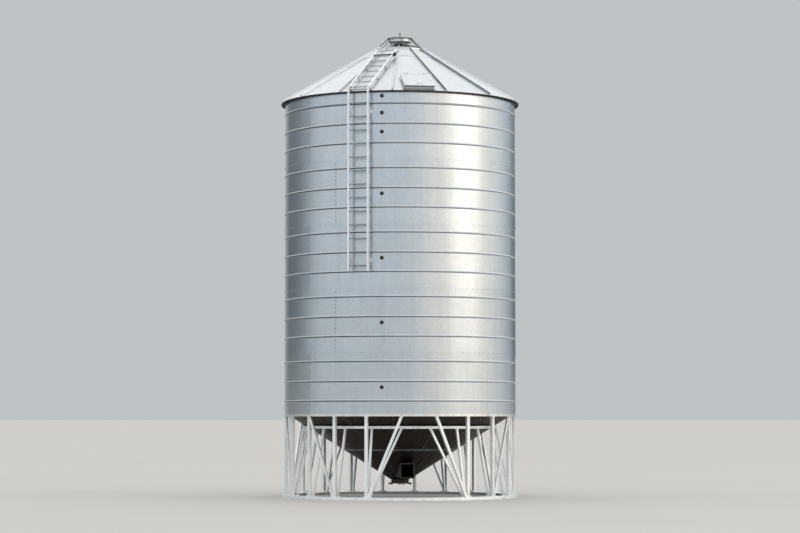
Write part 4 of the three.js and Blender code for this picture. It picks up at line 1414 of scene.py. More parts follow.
@dataclass
class WallShell:
    """Fifteen rolled sheets in five courses, each lapped over the one below and its neighbour."""

    sheets: int = 3
    stagger: float = 360 / 21
    rib_depth: float = 0.014
    rib_points: int = 8
    flat_edge: float = 0.008
    steel: float = 0.0035
    lap: float = 0.030
    lap_gap: float = 0.0005
    lap_edge: float = 0.004
    end_lap: float = 1.1
    steps: int = 60
    top: float = 9.078
    first_bottom: float = 1.8583
    lap_bolts: int = 108
    lap_bolt_drop: float = 0.012
    seam_bolt_pitch: float = 0.089
    seam_bolt_margin: float = 0.060
    seam_bolt_drop: float = 0.015
    # Degrees from the lap's beginning to its two rows
    seam_rows: tuple[float, float] = (0.25, 0.80)

    def outline(self, course: int) -> list[tuple[float, float]]:
        """Draw the outer face of a course in section.

        Args:
            course: The course's number, from 0 at the bottom.

        Returns:
            Points of radius and height, from the bottom edge up.
        """
        base = WALL_BOTTOM + course * COURSE_PITCH
        proud = WALL_RADIUS + self.steel + self.lap_gap
        if course:
            points = [(proud, base - self.lap), (proud, base + self.lap_edge)]
        else:
            points = [(WALL_RADIUS, self.first_bottom)]
        for height in WALL_RIBS:
            edge = WALL_RIB_HALF + self.flat_edge
            points.append((WALL_RADIUS, base + height - edge))
            for point in range(self.rib_points + 1):
                share = 2 * point / self.rib_points - 1
                swell = self.rib_depth * math.cos(share * math.pi / 2) ** 2
                points.append((WALL_RADIUS + swell, base + height + share * WALL_RIB_HALF))
            points.append((WALL_RADIUS, base + height + edge))
        last = course == COURSE_COUNT - 1
        return points + [(WALL_RADIUS, self.top if last else base + COURSE_PITCH)]

    def sheet(self, course: int, number: int) -> Piece:
        """Roll one sheet, its far end sprung out over its neighbour.

        Args:
            course: The course's number, from 0 at the bottom.
            number: The sheet's number in the course.

        Returns:
            The sheet, dressed.
        """
        sweep = 360 / self.sheets
        start = (number - 0.5) * sweep + (course % 2) * self.stagger
        sheet = turned(self.outline(course), self.steps, sweep, start, closed=False)
        end = around(1, start + sweep, 0)
        spring = 1 + (self.steel + self.lap_gap) / WALL_RADIUS
        with editing(sheet):
            pick(Pick.VERT, lambda middle, _: middle.xy.normalized().dot(end.xy) > 1 - WELD)
            bpy.ops.transform.resize(value=(spring, spring, 1), center_override=(0, 0, 0))
            bpy.ops.mesh.select_mode(type="EDGE")
            bpy.ops.mesh.extrude_edges_move(TRANSFORM_OT_translate={"value": (0, 0, 0)})
            bpy.ops.transform.rotate(value=-math.radians(self.end_lap), orient_axis="Z",
                                     center_override=(0, 0, 0))
        modify(sheet, "SOLIDIFY", thickness=self.steel, offset=-1, use_even_offset=True)
        return dress(sheet, WALL_ZINC)

    def seam_bolts(self, course: int, azimuth: float) -> Piece:
        """Bolt a sheet's end lap with two upright rows.

        Args:
            course: The course's number, from 0 at the bottom.
            azimuth: Where the lap begins.

        Returns:
            Both rows.
        """
        count = int((COURSE_PITCH - 2 * self.seam_bolt_margin) / self.seam_bolt_pitch) + 1
        middle = WALL_BOTTOM + (course + 0.5) * COURSE_PITCH - self.seam_bolt_drop
        place = on_wall(middle, WALL_RADIUS + 2 * self.steel)
        step = (0, self.seam_bolt_pitch, 0)
        return join(*[bolt_row(SHEET_BOLT, count, step, turn(azimuth + shift) @ place)
                      for shift in self.seam_rows])

    def build(self) -> None:
        """Build every sheet with its bolts and hand them over."""
        for course in range(COURSE_COUNT):
            for number in range(self.sheets):
                end = (number + 0.5) * 360 / self.sheets + (course % 2) * self.stagger
                parts = [self.sheet(course, number), self.seam_bolts(course, end)]
                if course:
                    base = WALL_BOTTOM + course * COURSE_PITCH
                    share = self.lap_bolts // self.sheets
                    step = 360 / self.lap_bolts
                    bolt = SHEET_BOLT.build(turn(end - step / 2) @ on_wall(
                        base - self.lap_bolt_drop, WALL_RADIUS + self.steel))
                    parts.append(repeat_around(dress(bolt, BOLT_ZINC), share, -step))
                hand_over(join(*parts), f"wall_sheet_{course + 1}_{number + 1}",
                          [f"wall_course_{course + 1}_sheet_{number + 1}"])


@dataclass
class SightWindows:
    """Seven round sight windows up the front, each dark glazing in a rubber ring."""

    azimuth: float = -18
    heights: tuple[float, ...] = (2.489, 3.913, 5.337, 6.761, 8.130, 8.551, 8.928)
    # Both sections as radius and height
    ring: Outline = ((0.029, 0.0), (0.044, 0.0), (0.044, 0.008), (0.041, 0.015), (0.038, 0.018),
                     (0.033, 0.018), (0.029, 0.013))
    glass: Outline = ((0.0, 0.0), (0.031, 0.0), (0.031, 0.010), (0.0192, 0.0125), (0.0, 0.0135))
    steps: int = 24
    sink: float = 0.006

    def window(self) -> Piece:
        """Return one window, dark glazing in its rubber ring, on its back at the origin."""
        return join(dress(turned(self.ring, self.steps), RUBBER),
                    dress(turned(self.glass, self.steps), GLAZING))

    def build(self) -> None:
        """Build the windows and hand them over as one piece."""
        window = self.window()
        places = [turn(self.azimuth) @ on_wall(height, WALL_RADIUS - self.sink) for height in self.heights]
        windows = [copy_to(window, place) for place in places]
        discard(window)
        nodes = [f"sight_window_{number + 1}" for number in range(len(self.heights))]
        hand_over(join(*windows), "sight_windows", nodes)


@dataclass
class BottomRim:
    """Bright angle under and round the wall's bottom edge, bolted through the first course."""

    inner: float = 2.580
    outer: float = 2.6583
    height: float = 0.045
    steel: float = 0.008
    corner: float = 0.0025
    bolts: int = 84
    bolt_height: float = 0.026

    def build(self) -> None:
        """Build the angle with its bolts and hand it over."""
        top, web = WALL_BOTTOM + self.height, self.outer - self.steel
        angle = dress(soften(turned([
            (self.inner, WALL_BOTTOM), (self.outer, WALL_BOTTOM), (self.outer, top), (web, top),
            (web, WALL_BOTTOM + self.steel), (self.inner, WALL_BOTTOM + self.steel)]),
            self.corner), BRIGHT_ZINC)
        bolt = dress(SHEET_BOLT.build(on_wall(WALL_BOTTOM + self.bolt_height, self.outer)), BOLT_ZINC)
        hand_over(join(angle, repeat_around(bolt, self.bolts)), "wall_foot_angle",
                  ["bottom_rim"])


@dataclass
class RoofSheets:
    """Cone of fourteen sheets with a turned-down eave and a screwed cover rib on each seam."""

    inner: float = 0.660
    lip: float = 0.028
    lip_steel: float = 0.008
    wall_lap: float = 0.010
    ease: float = 0.003
    # A face outside the wall gets painted shade where its normal rises less than this
    eave_shade: float = 0.3
    rib: CoverRib = CoverRib(width=0.040, rise=0.045, ease=0.005)
    rib_low: float = 2.715
    rib_high: float = 1.003
    flange_width: float = 0.078
    flange_steel: float = 0.004
    flange_lift: float = 0.0008
    screw_x: float = 0.030
    screw_lift: float = 0.003
    hatch_radius: float = 2.372
    hatch_hole: Triple = (0.600, 0.620, 0.300)
    screws: int = 6

    def cone(self) -> Piece:
        """Form the sheets as one shell and cut the hatch hole in it.

        Returns:
            The shell, its turned-down eave dressed in painted shade underneath.
        """
        drop = ROOF_SHEET / math.cos(ROOF_PITCH)
        inside = EAVE_RADIUS - self.lip_steel
        over_wall = WALL_RADIUS - self.wall_lap
        shell = soften(turned([
            (inside, EAVE_TOP - self.lip), (EAVE_RADIUS, EAVE_TOP - self.lip), (EAVE_RADIUS, EAVE_TOP),
            (self.inner, roof_top(self.inner)), (self.inner, roof_top(self.inner) - drop),
            (over_wall, roof_top(over_wall) - drop), (inside, roof_top(inside) - drop)]), self.ease)
        hole = put(block(self.hatch_hole, edge=0.004), on_roof(self.hatch_radius))
        return dress_faces(dress(cut(shell, hole), ROOF_ZINC), EAVE_PAINTED_SHADE, lambda middle, direction:
                           middle.xy.length > WALL_RADIUS and direction.z < self.eave_shade)

    def ribs(self) -> Piece:
        """Cover each seam with a screwed rib on its flanges.

        Returns:
            All of the ribs, one flank of each on the left half dressed in painted shade.
        """
        length = (self.rib_low - self.rib_high) / math.cos(ROOF_PITCH)
        middle = on_roof((self.rib_low + self.rib_high) / 2)
        flange = dress(block((self.flange_width, length, self.flange_steel), (0, 0, self.flange_lift),
                             self.flange_lift), ROOF_ZINC)
        rows = [bolt_row(ROOF_SCREW, self.screws, (0, length / self.screws, 0),
                         moved(side * self.screw_x, 0, self.screw_lift)) for side in (-1, 1)]
        rib, seam = (repeat_around(put(piece, turn(180 / ROOF_SHEETS) @ middle), ROOF_SHEETS)
                     for piece in (self.rib.build(length), join(flange, *rows)))
        return join(dress_faces(rib, RIB_FLANK_SHADE, shaded_flank), seam)

    def build(self) -> None:
        """Build the roof and hand it over."""
        hand_over(join(self.cone(), self.ribs()), "roof_cone", ["roof_sheets"])


@dataclass
class RoofCap:
    """Cap over the peak: a skirt on the sheets, a low curb and a flatter cone, ribs running on."""

    inner: float = 0.237
    top: float = 10.385
    curb_height: float = 0.046
    steel: float = 0.008
    gap: float = 0.0003
    ease: float = 0.0025
    skirt_rib: CoverRib = CoverRib(width=0.040, rise=0.036, ease=0.004)
    flat_rib: CoverRib = CoverRib(width=0.038, rise=0.036, ease=0.004)
    rib_lap: float = 0.004
    rib_top: float = 0.280
    screw_inset: float = 0.030

    def curb_top(self) -> float:
        """Return the height of the curb's upper edge."""
        return roof_top(CURB_RADIUS) + self.curb_height

    def slope(self) -> float:
        """Return how steeply the flatter cone rises, as height over radius."""
        return (self.top - self.curb_top()) / (CURB_RADIUS - self.inner)

    def shell(self) -> Piece:
        """Form the cap's own sheet: its skirt, its curb and its flatter cone.

        Returns:
            The sheet, dressed.
        """
        lift = self.gap / math.cos(ROOF_PITCH)
        thick = self.steel / math.cos(ROOF_PITCH)
        inside = CURB_RADIUS - self.steel
        curb_under = self.curb_top() + (self.slope() - 1) * self.steel
        shell = turned([
            (CAP_RADIUS, roof_top(CAP_RADIUS) + lift), (CAP_RADIUS, roof_top(CAP_RADIUS) + lift + thick),
            (CURB_RADIUS, roof_top(CURB_RADIUS) + lift + thick), (CURB_RADIUS, self.curb_top()),
            (self.inner, self.top), (self.inner, self.top - self.steel),
            (inside, curb_under), (inside, roof_top(inside) + lift)])
        return dress(soften(shell, self.ease), ROOF_ZINC)

    def lay(self, rib: CoverRib, start: Vector, end: Vector) -> Piece:
        """Lay one length of rib on the cap's face, at the front.

        Args:
            rib: The rib that is folded to this length.
            start: The middle of its foot on that face.
            end: The middle of its upper end on that face.

        Returns:
            The rib, dressed.
        """
        run = end - start
        pitch = Matrix.Rotation(math.atan2(run.z, run.y), 4, "X")
        return put(rib.build(run.length), Matrix.Translation((start + end) / 2) @ pitch)

    def ribs(self) -> Piece:
        """Run both lengths of rib on over the roof's seams.

        Returns:
            All of the ribs, one flank of each on the left half dressed in painted shade.
        """
        thick = self.steel / math.cos(ROOF_PITCH)
        low, high = CURB_RADIUS - self.rib_lap, CURB_RADIUS + self.rib_lap
        skirt = self.lay(self.skirt_rib, around(CAP_RADIUS, 0, roof_top(CAP_RADIUS) + thick),
                         around(low, 0, roof_top(low) + thick))
        flat = self.lay(self.flat_rib, *(
            around(radius, 0, self.curb_top() + self.slope() * (CURB_RADIUS - radius))
            for radius in (high, self.rib_top)))
        both = put(join(skirt, flat), turn(180 / ROOF_SHEETS))
        return dress_faces(repeat_around(both, ROOF_SHEETS), RIB_FLANK_SHADE, shaded_flank)

    def screws(self) -> Piece:
        """Screw the cap down round its skirt.

        Returns:
            All of the screws.
        """
        place = on_roof(CAP_RADIUS - self.screw_inset) @ moved(0, 0, self.steel)
        screw = ROOF_SCREW.build(place)
        return repeat_around(dress(screw, BOLT_ZINC), 2 * ROOF_SHEETS)

    def build(self) -> None:
        """Build the cap and hand it over."""
        hand_over(join(self.shell(), self.ribs(), self.screws()), "peak_cap", ["roof_cap"])


@dataclass
class FillCollar:
    """Filling collar dropped through the cap, with a rolled top edge and a bolted flange, black as painted
    shade.
    """

    inner: float = 0.225
    outer: float = 0.235
    top: float = 10.430
    depth: float = 0.100
    flange_radius: float = 0.262
    flange_under: float = 10.3853
    flange: float = 0.008
    roll: float = 0.004
    ease: float = 0.0015
    bolts: int = 12
    bolt_radius: float = 0.250

    def build(self) -> None:
        """Build the collar and hand it over."""
        bottom, over = self.top - self.depth, self.flange_under + self.flange
        collar = soften(turned([
            (self.inner, bottom), (self.outer, bottom), (self.outer, self.flange_under),
            (self.flange_radius, self.flange_under), (self.flange_radius, over), (self.outer, over),
            (self.outer, self.top - 3 * self.roll), (self.outer + self.roll, self.top - 1.5 * self.roll),
            (self.outer, self.top), (self.inner, self.top)], SMALL_RING_STEPS), self.ease)
        bolt = ROOF_SCREW.build(moved(0, -self.bolt_radius, over))
        bolts = repeat_around(bolt, self.bolts)
        # Dressed black as painted shade under the lid
        hand_over(dress(join(collar, bolts), RUBBER), "filling_neck", ["fill_collar"])


@dataclass
class LidGuard:
    """Open frame of sloping round bars that carries the lid's ring over the cap, with its hinge."""

    ring_radius: float = 0.288
    bar: float = 0.022
    ring_level: float = 10.570
    legs: int = 7
    foot_radius: float = 0.606
    foot_level: float = 10.294
    pad_radius: float = 0.598
    pad_level: float = 10.308
    pad: Triple = (0.060, 0.040, 0.012)
    pad_bolts: int = 2
    pad_bolt_pitch: float = 0.040
    ring_steps: int = 72
    hinge_plate: Triple = (0.124, 0.080, 0.012)
    hinge_plate_y: float = 0.328
    hinge_plate_level: float = 10.556
    ear: Triple = (0.012, 0.058, 0.056)
    ear_place: Triple = (0.056, 0.339, 10.578)
    ear_round: float = 0.018
    pin_half: float = 0.068
    pin_radius: float = 0.008

    def leg(self) -> Piece:
        """Set one sloping bar on its bolted pad, at the front.

        Returns:
            The bar and its pad.
        """
        half = self.bar / 2
        bar = rod(around(self.ring_radius, 0, self.ring_level),
                  around(self.foot_radius, 0, self.foot_level), half)
        pad = block(self.pad, (0, -self.pad_radius, self.pad_level))
        face = moved(0, -self.pad_radius, self.pad_level + self.pad[2] / 2)
        return join(dress(join(bar, pad), DULL_ZINC_AND_SHADE), bolt_row(
            ROOF_SCREW, self.pad_bolts, (self.pad_bolt_pitch, 0, 0), face))

    def ring(self) -> Piece:
        """Bend the round bar into the ring that the lid lies on.

        Returns:
            The ring, dressed.
        """
        half = self.bar / 2
        angles = [2 * math.pi * side / PIN_SIDES for side in range(PIN_SIDES)]
        section = [(self.ring_radius + half * math.cos(angle), self.ring_level + half * math.sin(angle))
                   for angle in angles]
        return dress(turned(section, self.ring_steps), DULL_ZINC_AND_SHADE)

    def hinge(self) -> Piece:
        """Make the hinge's plate, its two ears and its pin.

        Returns:
            The hinge, dressed.
        """
        plate = block(self.hinge_plate, (0, self.hinge_plate_y, self.hinge_plate_level))
        x, y, z = self.ear_place
        ears = []
        for side in (-1, 1):
            ear = block(self.ear, (side * x, y, z), edge=0.001)
            with editing(ear):
                pick(Pick.EDGE, lambda middle, run: abs(run.x) > ALONG and middle.z > z + self.ear_round)
                bpy.ops.mesh.bevel(offset=self.ear_round, segments=4, affect="EDGES")
            ears.append(ear)
        pin = cross_rod((0, LID_HINGE_Y, LID_HINGE_Z), self.pin_half, self.pin_radius)
        return dress(join(plate, *ears, pin), DULL_ZINC_AND_SHADE)

    def build(self) -> None:
        """Build the frame and hand it over."""
        legs = repeat_around(self.leg(), self.legs)
        hand_over(join(self.ring(), legs, self.hinge()), "lid_frame", ["lid_guard"])


@dataclass
class FillLid:
    """Round lid with a rolled edge, a pan below, a lifting peg on top and its hinge arm."""

    radius: float = 0.302
    bottom: float = 10.5813
    steel: float = 0.007
    crown: float = 0.010
    # The plate's crown: share of its radius and height over its edge
    dish: Outline = ((0.86, 0.003), (0.82, 0.0065), (0.45, 0.0095))
    pan_radius: float = 0.262
    pan_bottom: float = 10.4963
    pan_wall: float = 0.007
    ease: float = 0.002
    boss: Outline = ((0.034, 0.0), (0.034, 0.014), (0.015, 0.022))
    # The peg's top: how much wider than the peg, and how far below its tip
    knob: Outline = ((0.0, 0.030), (0.003, 0.026), (0.003, 0.010), (-0.006, 0.002))
    peg_radius: float = 0.015
    peg_top: float = 10.7283
    arm_size: Triple = (0.076, 0.130, 0.012)
    arm_lift: float = 0.004
    arm_bolts_y: float = 0.2495
    arm_bolts: int = 2
    arm_bolt_pitch: float = 0.035
    knuckle_half: float = 0.038
    knuckle_radius: float = 0.016
    knuckle_sides: int = 20

    def plate(self) -> Piece:
        """Dish the crowned plate and give it its pan.

        Returns:
            The plate with its pan.
        """
        top, inside = self.bottom + self.steel, self.pan_radius - self.pan_wall
        lid = turned([
            (0, self.bottom), (inside, self.bottom), (inside, self.pan_bottom),
            (self.pan_radius, self.pan_bottom), (self.pan_radius, self.bottom),
            (self.radius, self.bottom), (self.radius, top),
            *[(share * self.radius, top + rise) for share, rise in self.dish],
            (0, top + self.crown)], SMALL_RING_STEPS)
        return soften(lid, self.ease)

    def peg(self) -> Piece:
        """Turn the lifting peg on its boss, with a collar under its rounded top.

        Returns:
            The peg.
        """
        top = self.bottom + self.steel
        return turned([
            (0, top), *[(radius, top + rise) for radius, rise in self.boss],
            *[(self.peg_radius + wider, self.peg_top - drop) for wider, drop in self.knob],
            (0, self.peg_top)], 2 * PIN_SIDES)

    def arm(self) -> list[Piece]:
        """Make the hinge arm, the knuckle at its end and their bolts.

        Returns:
            The three parts.
        """
        top = self.bottom + self.steel
        _, length, thick = self.arm_size
        arm = block(self.arm_size, (0, LID_HINGE_Y - length / 2, top + self.arm_lift))
        knuckle = cross_rod((0, LID_HINGE_Y, LID_HINGE_Z), self.knuckle_half, self.knuckle_radius,
                            self.knuckle_sides)
        face = moved(0, self.arm_bolts_y, top + self.arm_lift + thick / 2)
        return [arm, knuckle, bolt_row(ROOF_SCREW, self.arm_bolts, (0, self.arm_bolt_pitch, 0), face)]

    def build(self) -> None:
        """Build the lid and hand it over to its own body."""
        steel = [dress(piece, ROOF_ZINC) for piece in (self.plate(), *self.arm())]
        hand_over(join(*steel, dress(self.peg(), DULL_ZINC_AND_SHADE)), "round_lid", ["fill_lid"],
                  Body.FILLING_LID)


@dataclass
class RoofHatch:
    """Man hatch near the eave: a folded frame let into the roof, and its hinged tray lid."""

    radius: float = 2.372
    width: float = 0.640
    length: float = 0.660
    frame_wall: float = 0.018
    frame_height: float = 0.072
    sink: float = 0.020
    flashing: tuple[float, float] = (0.740, 0.720)
    flashing_width: float = 0.052
    flashing_steel: float = 0.004
    hinge_x: float = 0.210
    hinge_y: float = 0.360
    hinge_z: float = 0.076
    ear: Triple = (0.008, 0.044, 0.036)
    ear_x: float = 0.035
    ear_y: float = 0.350
    ear_z: float = 0.066
    ear_round: float = 0.009
    pin_half: float = 0.040
    pin_radius: float = 0.006
    knuckle_half: float = 0.030
    knuckle_radius: float = 0.012
    knuckle_sides: int = 16
    arm: tuple[float, float] = (0.050, 0.060)
    arm_shift: float = 0.032
    lid_width: float = 0.680
    lid_front: float = -0.350
    lid_back: float = 0.322
    lid_bottom: float = 0.0723
    lid_steel: float = 0.008
    lid_depth: float = 0.040
    lid_border: float = 0.035
    lid_slope: float = 0.012
    lid_rise: float = 0.005
    handle_y: float = -0.290
    handle_half: float = 0.070
    handle_top: float = 0.118
    handle_radius: float = 0.008
    handle_bend: float = 0.022
    handle_sink: float = 0.002
    handle_sides: int = 10
    bend_steps: int = 5

    def frame_piece(self) -> Piece:
        """Fold the upstand with its flashing, ears and pins, flat at the origin.

        Returns:
            The frame, dressed.
        """
        height = self.frame_height + self.sink
        upstand = put(plate_frame(self.width, self.length, height, self.frame_wall),
                      moved(0, 0, self.frame_height - height / 2))
        flashing = put(plate_frame(*self.flashing, self.flashing_steel, self.flashing_width),
                       moved(0, 0, self.flashing_steel))
        ears = []
        high = self.ear_z + self.ear[2] / 3
        for side, way in itertools.product((-1, 1), (-1, 1)):
            at = (side * self.hinge_x + way * self.ear_x, self.ear_y, self.ear_z)
            plate = block(self.ear, at, edge=0.0008)
            with editing(plate):
                pick(Pick.EDGE, lambda middle, run: abs(run.x) > ALONG and middle.z > high)
                bpy.ops.mesh.bevel(offset=self.ear_round, segments=3, affect="EDGES")
            ears.append(plate)
        pins = [cross_rod((side * self.hinge_x, self.hinge_y, self.hinge_z), self.pin_half, self.pin_radius)
                for side in (-1, 1)]
        return dress(join(upstand, flashing, *ears, *pins), ROOF_ZINC)

    def handle(self) -> Piece:
        """Bend the lid's handle out of a round bar: up, across and down.

        Returns:
            The handle, at its place on the lid.
        """
        radius, bend = self.handle_radius, self.handle_bend
        base = self.lid_bottom + self.lid_steel - self.handle_sink
        bpy.ops.mesh.primitive_circle_add(vertices=self.handle_sides, radius=radius, fill_type="NGON")
        handle = bpy.context.object
        rise = self.handle_top - radius - bend - base
        across = 2 * (self.handle_half - bend)
        with editing(handle):
            bpy.ops.transform.translate(value=(-self.handle_half, self.handle_y, base))
            bpy.ops.mesh.extrude_region_move(TRANSFORM_OT_translate={"value": (0, 0, rise)})
            for side, run in ((-1, (across, 0, 0)), (1, (0, 0, -rise))):
                corner = (side * (self.handle_half - bend), self.handle_y, base + rise)
                bpy.ops.mesh.spin(steps=self.bend_steps, angle=-math.pi / 2, axis=(0, 1, 0),
                                  center=corner)
                bpy.ops.mesh.extrude_region_move(TRANSFORM_OT_translate={"value": run})
            bpy.ops.mesh.select_all(action="SELECT")
            bpy.ops.mesh.remove_doubles(threshold=WELD)
            bpy.ops.mesh.normals_make_consistent(inside=False)
        return handle

    def lid_piece(self) -> Piece:
        """Fold the tray lid with its arms, knuckles and handle, flat at the origin.

        Returns:
            The lid, dressed.
        """
        steel = self.lid_steel
        middle = (self.lid_front + self.lid_back) / 2
        length = self.lid_back - self.lid_front
        top = self.lid_bottom + steel
        tray = block((self.lid_width, length, steel), (0, middle, self.lid_bottom + steel / 2),
                     edge=0.003)
        with editing(tray):
            pick(Pick.FACE, lambda _, direction: direction.z > ALONG)
            bpy.ops.mesh.inset(thickness=self.lid_border)
            bpy.ops.mesh.inset(thickness=self.lid_slope)
            bpy.ops.transform.translate(value=(0, 0, self.lid_rise))
        level = top - self.lid_depth / 2
        front = block((self.lid_width, steel, self.lid_depth), (0, self.lid_front + steel / 2, level))
        reach = (self.lid_width - steel) / 2
        sides = [block((steel, length, self.lid_depth), (side * reach, middle, level))
                 for side in (-1, 1)]
        arms = []
        for side in (-1, 1):
            x = side * self.hinge_x
            arms.append(block((*self.arm, steel), (x, self.hinge_y - self.arm_shift,
                                                   self.lid_bottom + steel / 2)))
            arms.append(cross_rod((x, self.hinge_y, self.hinge_z), self.knuckle_half,
                                  self.knuckle_radius, self.knuckle_sides))
        # The front skirt is dressed darker than the sides as painted shade
        return join(dress(tray, ROOF_ZINC), dress(front, DULL_ZINC_AND_SHADE),
                    dress(join(*sides, *arms, self.handle()), ROOF_ZINC))

    def build(self) -> None:
        """Build the frame and the lid, set them on the roof and hand them over."""
        place = on_roof(self.radius)
        hand_over(put(self.frame_piece(), place), "hatch_curb", ["hatch_frame"])
        hand_over(put(self.lid_piece(), place), "hatch_tray_lid", ["hatch_lid"],
                  Body.ROOF_HATCH_LID)


@dataclass
class WallLadder:
    """Ladder on stand-off brackets, its rungs pinned through two folded rails."""

    radius: float = 2.802
    rail: float = 0.046
    bottom: float = 5.040
    top: float = 9.135
    rungs: int = 14
    first_rung: float = 5.165
    collar_length: float = 0.008
    collar_wall: float = 0.006
    brackets: tuple[float, ...] = (5.284, 8.580)
    arm: tuple[float, float] = (0.030, 0.060)
    foot: Triple = (0.070, 0.006, 0.100)
    foot_bolts: int = 2
    foot_bolt_pitch: float = 0.076
    splice_level: float = 7.115
    splice: Triple = (0.034, 0.200, 0.004)
    splice_lift: float = 0.001
    splice_bolts: int = 4
    splice_bolt_pitch: float = 0.050

    def rails(self) -> list[Piece]:
        """Fold both rails, and splice the two lengths of each with a plate.

        Returns:
            The left rail and the right one.
        """
        half = LADDER_WIDTH / 2
        rail = dress(folded_bar(Vector((-half, -self.radius, self.bottom)),
                                Vector((-half, -self.radius, self.top)), self.rail), LADDER_ZINC)
        face = on_wall(self.splice_level, self.radius + self.rail / 2) @ moved(-half, 0, 0)
        lift = self.splice_lift
        plate = dress(put(block(self.splice, (0, 0, lift), edge=0.001), face), LADDER_ZINC)
        bolts = bolt_row(ROOF_SCREW, self.splice_bolts, (0, self.splice_bolt_pitch, 0),
                         face @ moved(0, 0, lift + self.splice[2] / 2))
        left = join(rail, plate, bolts)
        return [left, copy_to(left, moved(LADDER_WIDTH, 0, 0))]

    def rung_set(self) -> Piece:
        """Pin the rungs through the rails, each with a collar at both.

        Returns:
            All of the rungs, dressed.
        """
        half, level = LADDER_WIDTH / 2, self.first_rung
        rung = cross_rod((0, -self.radius, level), half, RUNG_RADIUS)
        reach = half - (self.rail + self.collar_length) / 2
        collars = [cross_rod((side * reach, -self.radius, level), self.collar_length / 2,
                             RUNG_RADIUS + self.collar_wall) for side in (-1, 1)]
        # Rungs dressed darker than the rails as painted shade
        return dress(repeat_along(join(rung, *collars), self.rungs, (0, 0, RUNG_PITCH)), RUNG_SHADE_ZINC)

    def bracket(self, side: int, level: float) -> Piece:
        """Make one stand-off from a rail back to its plate on the wall.

        Args:
            side: -1 for the left rail and 1 for the right.
            level: Its height.

        Returns:
            The stand-off with its bolts.
        """
        x = side * LADDER_WIDTH / 2
        wall = math.sqrt(WALL_RADIUS ** 2 - x ** 2)
        reach = self.radius - wall
        width, height = self.arm
        thick = self.foot[1]
        arm = block((width, reach, height), (x, -wall - reach / 2, level), edge=0.004)
        foot = block(self.foot, (x, -wall - thick / 2, level), edge=0.0015)
        bolts = bolt_row(FRAME_BOLT, self.foot_bolts, (0, self.foot_bolt_pitch, 0),
                         moved(x, 0, 0) @ on_wall(level, wall + thick))
        return join(dress(join(arm, foot), LADDER_ZINC), bolts)

    def build(self) -> None:
        """Build the ladder and hand it over."""
        brackets = [self.bracket(side, level) for side, level in itertools.product((-1, 1), self.brackets)]
        ladder = join(*self.rails(), self.rung_set(), *brackets)
        hand_over(put(ladder, turn(LADDER_AZIMUTH)), "side_ladder", ["wall_ladder"])


@dataclass
class RoofLadder:
    """Ladder laid up the roof on short feet, with the rope guide by its top."""

    rail: float = 0.040
    lift: float = 0.082
    top: float = 0.860
    bottom: float = 2.738
    rungs: int = 8
    feet: tuple[float, ...] = (1.640, 2.150, 2.660)
    foot_size: float = 0.034
    pad: Triple = (0.070, 0.060, 0.005)
    pad_lift: float = 0.004
    guide_radius: float = 1.110
    guide_inner: float = 0.2478
    cheek: Triple = (0.044, 0.078, 0.056)
    roller_inset: float = 0.008
    roller_lift: float = 0.020
    # The roller's section: radius and distance along its pin
    roller: Outline = ((0.034, 0.0), (0.040, 0.006), (0.026, 0.024), (0.040, 0.042), (0.034, 0.048))
    roller_steps: int = 20
    keeper_reach: Triple = (0.105, 0.030, 0.060)
    keeper_radius: float = 0.009
    shaft_drop: float = 0.030
    shaft_radius: float = 0.014

    def up(self, radius: float) -> float:
        """Return how far up the slope a radius lies from the ladder's middle."""
        return ((self.top + self.bottom) / 2 - radius) / math.cos(ROOF_PITCH)

    def ladder(self) -> Piece:
        """Make the ladder with its feet and pads, flat at the origin.

        Returns:
            The ladder, dressed.
        """
        half = LADDER_WIDTH / 2
        start, end = self.up(self.bottom), self.up(self.top)
        steel = []
        stand = Matrix.Rotation(-math.pi / 2, 4, "X")
        for side in (-1, 1):
            rail = folded_bar(Vector((0, 0, start)), Vector((0, 0, end)), self.rail)
            steel.append(put(rail, moved(side * half, 0, self.lift) @ stand))
            for radius in self.feet:
                x, y = side * half, self.up(radius)
                size = (self.foot_size, self.foot_size, self.lift)
                steel.append(block(size, (x, y, self.lift / 2), edge=0.003))
                steel.append(block(self.pad, (x, y, self.pad_lift), edge=0.001))
        first = start + (end - start - RUNG_PITCH * (self.rungs - 1)) / 2
        rung = cross_rod((0, first, self.lift), half, RUNG_RADIUS)
        # Rungs dressed darker than the rails as painted shade, lighter than the wall ladder's
        rungs = dress(repeat_along(rung, self.rungs, (0, RUNG_PITCH, 0)), STEP_ZINC)
        return join(dress(join(*steel), LADDER_ZINC), rungs)

    def guide(self) -> Piece:
        """Make the rope guide flat at the origin: cheek, grooved roller, keeper and shaft.

        Returns:
            The guide, dressed.
        """
        y, x = self.up(self.guide_radius), self.guide_inner
        middle = x + self.cheek[0] / 2
        cheek = block(self.cheek, (middle, y, self.lift), edge=0.004)
        lift = self.lift + self.roller_lift * math.cos(ROOF_PITCH)
        roller = turned([(0, self.roller[0][1]), *self.roller, (0, self.roller[-1][1])],
                        self.roller_steps)
        side = Matrix.Rotation(math.pi / 2, 4, "Y")
        put(roller, moved(x + self.roller_inset, y, lift) @ side)
        keeper_end = Vector((middle, y, lift)) + Vector(self.keeper_reach)
        keeper = rod(Vector((middle, y, self.lift)), keeper_end, self.keeper_radius)
        low = y - self.shaft_drop
        shaft = rod(Vector((-LADDER_WIDTH / 2, low, lift)), Vector((middle, low, lift)), self.shaft_radius)
        return dress(join(cheek, roller, keeper, shaft), BLACK_PAINT)

    def build(self) -> None:
        """Build the ladder and the guide, lay them on the roof and hand them over."""
        place = turn(LADDER_AZIMUTH) @ on_roof((self.top + self.bottom) / 2)
        hand_over(put(self.ladder(), place), "slope_ladder", ["roof_ladder"])
        hand_over(put(self.guide(), place), "rope_roller", ["rope_guide"])


# Studio


